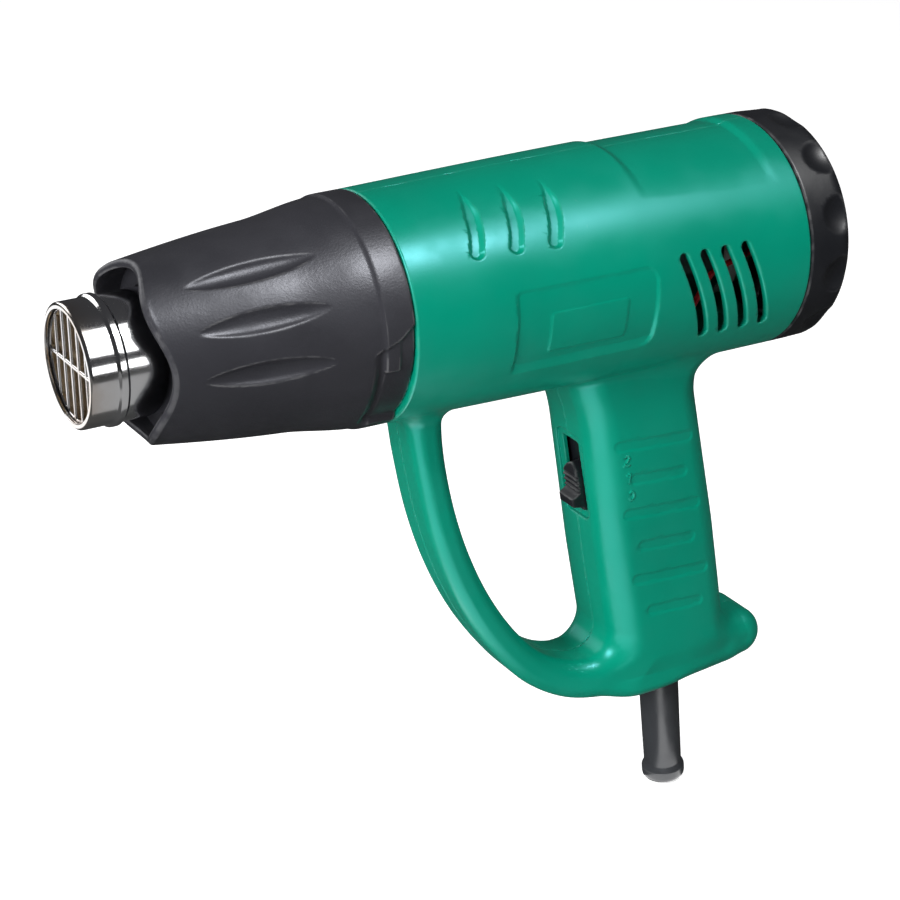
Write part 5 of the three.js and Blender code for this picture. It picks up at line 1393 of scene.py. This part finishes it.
def lay_floor(scene):
    """A pale floor that glows a little to the camera and stays dim in reflections."""
    reach = 6.0
    mesh = bpy.data.meshes.new("studio_floor")
    corners = [(-reach, -reach), (reach, -reach), (reach, reach), (-reach, reach)]
    mesh.from_pydata([(x, y, LOWEST - 0.0003) for x, y in corners], [], [(0, 1, 2, 3)])
    floor = bpy.data.objects.new("studio_floor", mesh)
    scene.collection.objects.link(floor)
    material, tree, shader = start_material("pale paper")
    place = tree.nodes.new("ShaderNodeTexCoord").outputs["Object"]
    paper = mix_colour(tree, noise(tree, place, 3.0, 3.0), grey(0.93), grey(0.95))
    shader.inputs["Roughness"].default_value = 0.8
    shader.inputs["Specular IOR Level"].default_value = 0.2
    shader.inputs["Emission Strength"].default_value = 1.0
    rays = tree.nodes.new("ShaderNodeLightPath")
    glow = mix_colour(tree, rays.outputs["Is Camera Ray"], grey(0), grey(0.64))
    tree.links.new(glow, shader.inputs["Emission Color"])
    reflected = mix_colour(tree, rays.outputs["Is Glossy Ray"], grey(0.6), grey(0.06))
    seen = mix_colour(tree, rays.outputs["Is Camera Ray"], reflected, paper)
    tree.links.new(seen, shader.inputs["Base Color"])
    mesh.materials.append(material)


def light_sky(scene, strength):
    """Even light from all around that is dark in reflections and looks like the far floor to the camera."""
    world = bpy.data.worlds.new("studio_sky")
    scene.world = world
    world.use_nodes = True
    nodes, links = world.node_tree.nodes, world.node_tree.links
    rays = nodes.new("ShaderNodeLightPath")
    sky = nodes["Background"]
    sky.inputs["Color"].default_value = grey(1)
    sky.inputs["Strength"].default_value = strength
    shown = sky.outputs[0]
    for ray, colour in (("Is Glossy Ray", (0.04, 0.04, 0.043, 1)), ("Is Camera Ray", grey(0.83))):
        other = nodes.new("ShaderNodeBackground")
        other.inputs["Color"].default_value = colour
        choice = nodes.new("ShaderNodeMixShader")
        links.new(rays.outputs[ray], choice.inputs["Fac"])
        links.new(shown, choice.inputs[1])
        links.new(other.outputs[0], choice.inputs[2])
        shown = choice.outputs[0]
    links.new(shown, nodes["World Output"].inputs["Surface"])


def set_cards(stage, middle):
    """Reflection cards: lights that show only as highlights, each on the pieces that it is meant for."""
    housing = ("housing_left_shell", "housing_right_shell")
    shield = ("heat_shield_shell", "rear_cap_shell")
    nozzle = ("nozzle_tube_turned", "nozzle_grille_bars")
    sleeve = ("cord_sleeve_turned",)
    white, warm = (1, 1, 1), (1, 0.75, 0.8)
    tip = (-0.23, 0, 0)
    level, strip = (1, 0, 0), (0.92, 0.38, -0.08)
    corner_line, sleeve_line = (0.87, 0.49, 0), (0.57, 0.82, 0)

    def on_floor(x, y):
        return (x, y, LOWEST + 0.001), (x, y, 1)

    # Name, place and aim, size, direction of the first side, power, colour and pieces
    for name, (place, aim), size, along, power, colour, pieces in (
        ("corner_card", on_floor(-0.27, -0.14), (0.36, 0.2), corner_line, stage.corner_card, white, housing),
        ("band_card", ((0.22, -0.545, 0.784), middle), (0.26, 0.15), strip, 4.5, warm, housing),
        ("halo_card", ((0.3, -0.51, 0.82), middle), (0.5, 0.6), strip, 3.8, white, housing),
        ("left_card", ((-0.87, -0.3, 0.56), middle), (0.4, 0.4), level, 14.0, white, housing),
        ("shield_card", ((0.2, -0.5, 0.8), tip), (0.3, 0.25), level, 7.0, white, shield),
        ("sleeve_card", on_floor(-0.07, -0.055), (0.12, 0.025), sleeve_line, 0.03, white, sleeve),
        ("tube_card_high", ((0.04, -0.46, 0.6), tip), (0.5, 0.7), level, 2.8, white, nozzle),
        ("tube_card_front", ((0.04, -0.75, 0.07), tip), (0.5, 0.16), level, 0.9, white, nozzle),
        ("tube_card_floor", on_floor(-0.2, -0.35), (0.7, 0.6), level, 0.35, white, nozzle),
        ("mouth_card", on_floor(-0.42, 0.47), (0.5, 0.4), level, 0.8, white, nozzle),
    ):
        card = area_light(name, place, aim, size, power, colour, along)
        card.visible_camera = False
        card.visible_diffuse = False
        receivers = bpy.data.collections.new(name + "_receivers")
        for piece in pieces:
            receivers.objects.link(bpy.data.objects[piece])
        card.light_linking.receiver_collection = receivers


class BuildStage(bpy.types.Operator):
    """Sets the camera, the pale floor and the soft studio light"""

    bl_idname = "hot_air_tool.build_stage"
    bl_label = "Build stage"

    def execute(self, context):
        scene, stage = context.scene, context.scene.hot_air_stage
        scene.view_settings.view_transform = "Standard"
        set_camera(scene, stage)
        lay_floor(scene)
        light_sky(scene, stage.sky)
        middle = (-0.12, 0.0, -0.03)
        area_light("key_light", (0.2, -0.49, 0.87), middle, (0.34, 0.2), stage.key)
        fill = area_light("fill_light", (-1.2, -0.5, 0.38), middle, (0.7, 0.7), stage.fill)
        fill.visible_glossy = False
        area_light("back_light", (-0.6, 1.0, 0.45), middle, (0.8, 0.8), stage.back)
        set_cards(stage, middle)
        return {"FINISHED"}


class HotAirPanel(bpy.types.Panel):
    """Lists the builders and the sizes of the hot air tool"""

    bl_idname = "VIEW3D_PT_hot_air_tool"
    bl_label = "Hot air tool"
    bl_space_type = "VIEW_3D"
    bl_region_type = "UI"
    bl_category = "Hot air tool"

    def draw(self, context):
        layout = self.layout
        for operator in OPERATORS:
            layout.operator(operator.bl_idname)
        for label, group in GROUPS.items():
            box = layout.box()
            box.label(text=group.__name__)
            settings = getattr(context.scene, label)
            for name in group.__annotations__:
                box.prop(settings, name)


OPERATORS = (
    BuildHousing,
    BuildRearCap,
    BuildHeatShield,
    BuildNozzle,
    BuildSwitch,
    BuildSleeve,
    BuildScrews,
    FinishInnerParts,
    BuildStage,
)
GROUPS = {
    "hot_air_housing": HousingSizes,
    "hot_air_shield": ShieldSizes,
    "hot_air_nozzle": NozzleSizes,
    "hot_air_colours": FinishColours,
    "hot_air_stage": StageSettings,
}


def register():
    for item in (*GROUPS.values(), *OPERATORS, HotAirPanel):
        bpy.utils.register_class(item)
    for label, group in GROUPS.items():
        setattr(bpy.types.Scene, label, PointerProperty(type=group))


def unregister():
    for label in GROUPS:
        delattr(bpy.types.Scene, label)
    for item in reversed((*GROUPS.values(), *OPERATORS, HotAirPanel)):
        bpy.utils.unregister_class(item)


def main():
    register()
    bpy.ops.hot_air_tool.build_housing()
    bpy.ops.hot_air_tool.build_rear_cap()
    bpy.ops.hot_air_tool.build_heat_shield()
    bpy.ops.hot_air_tool.build_nozzle()
    bpy.ops.hot_air_tool.build_switch()
    bpy.ops.hot_air_tool.build_sleeve()
    bpy.ops.hot_air_tool.build_screws()
    bpy.ops.hot_air_tool.finish_inner_parts()
    bpy.ops.hot_air_tool.build_stage()


if __name__ == "__main__":
    main()
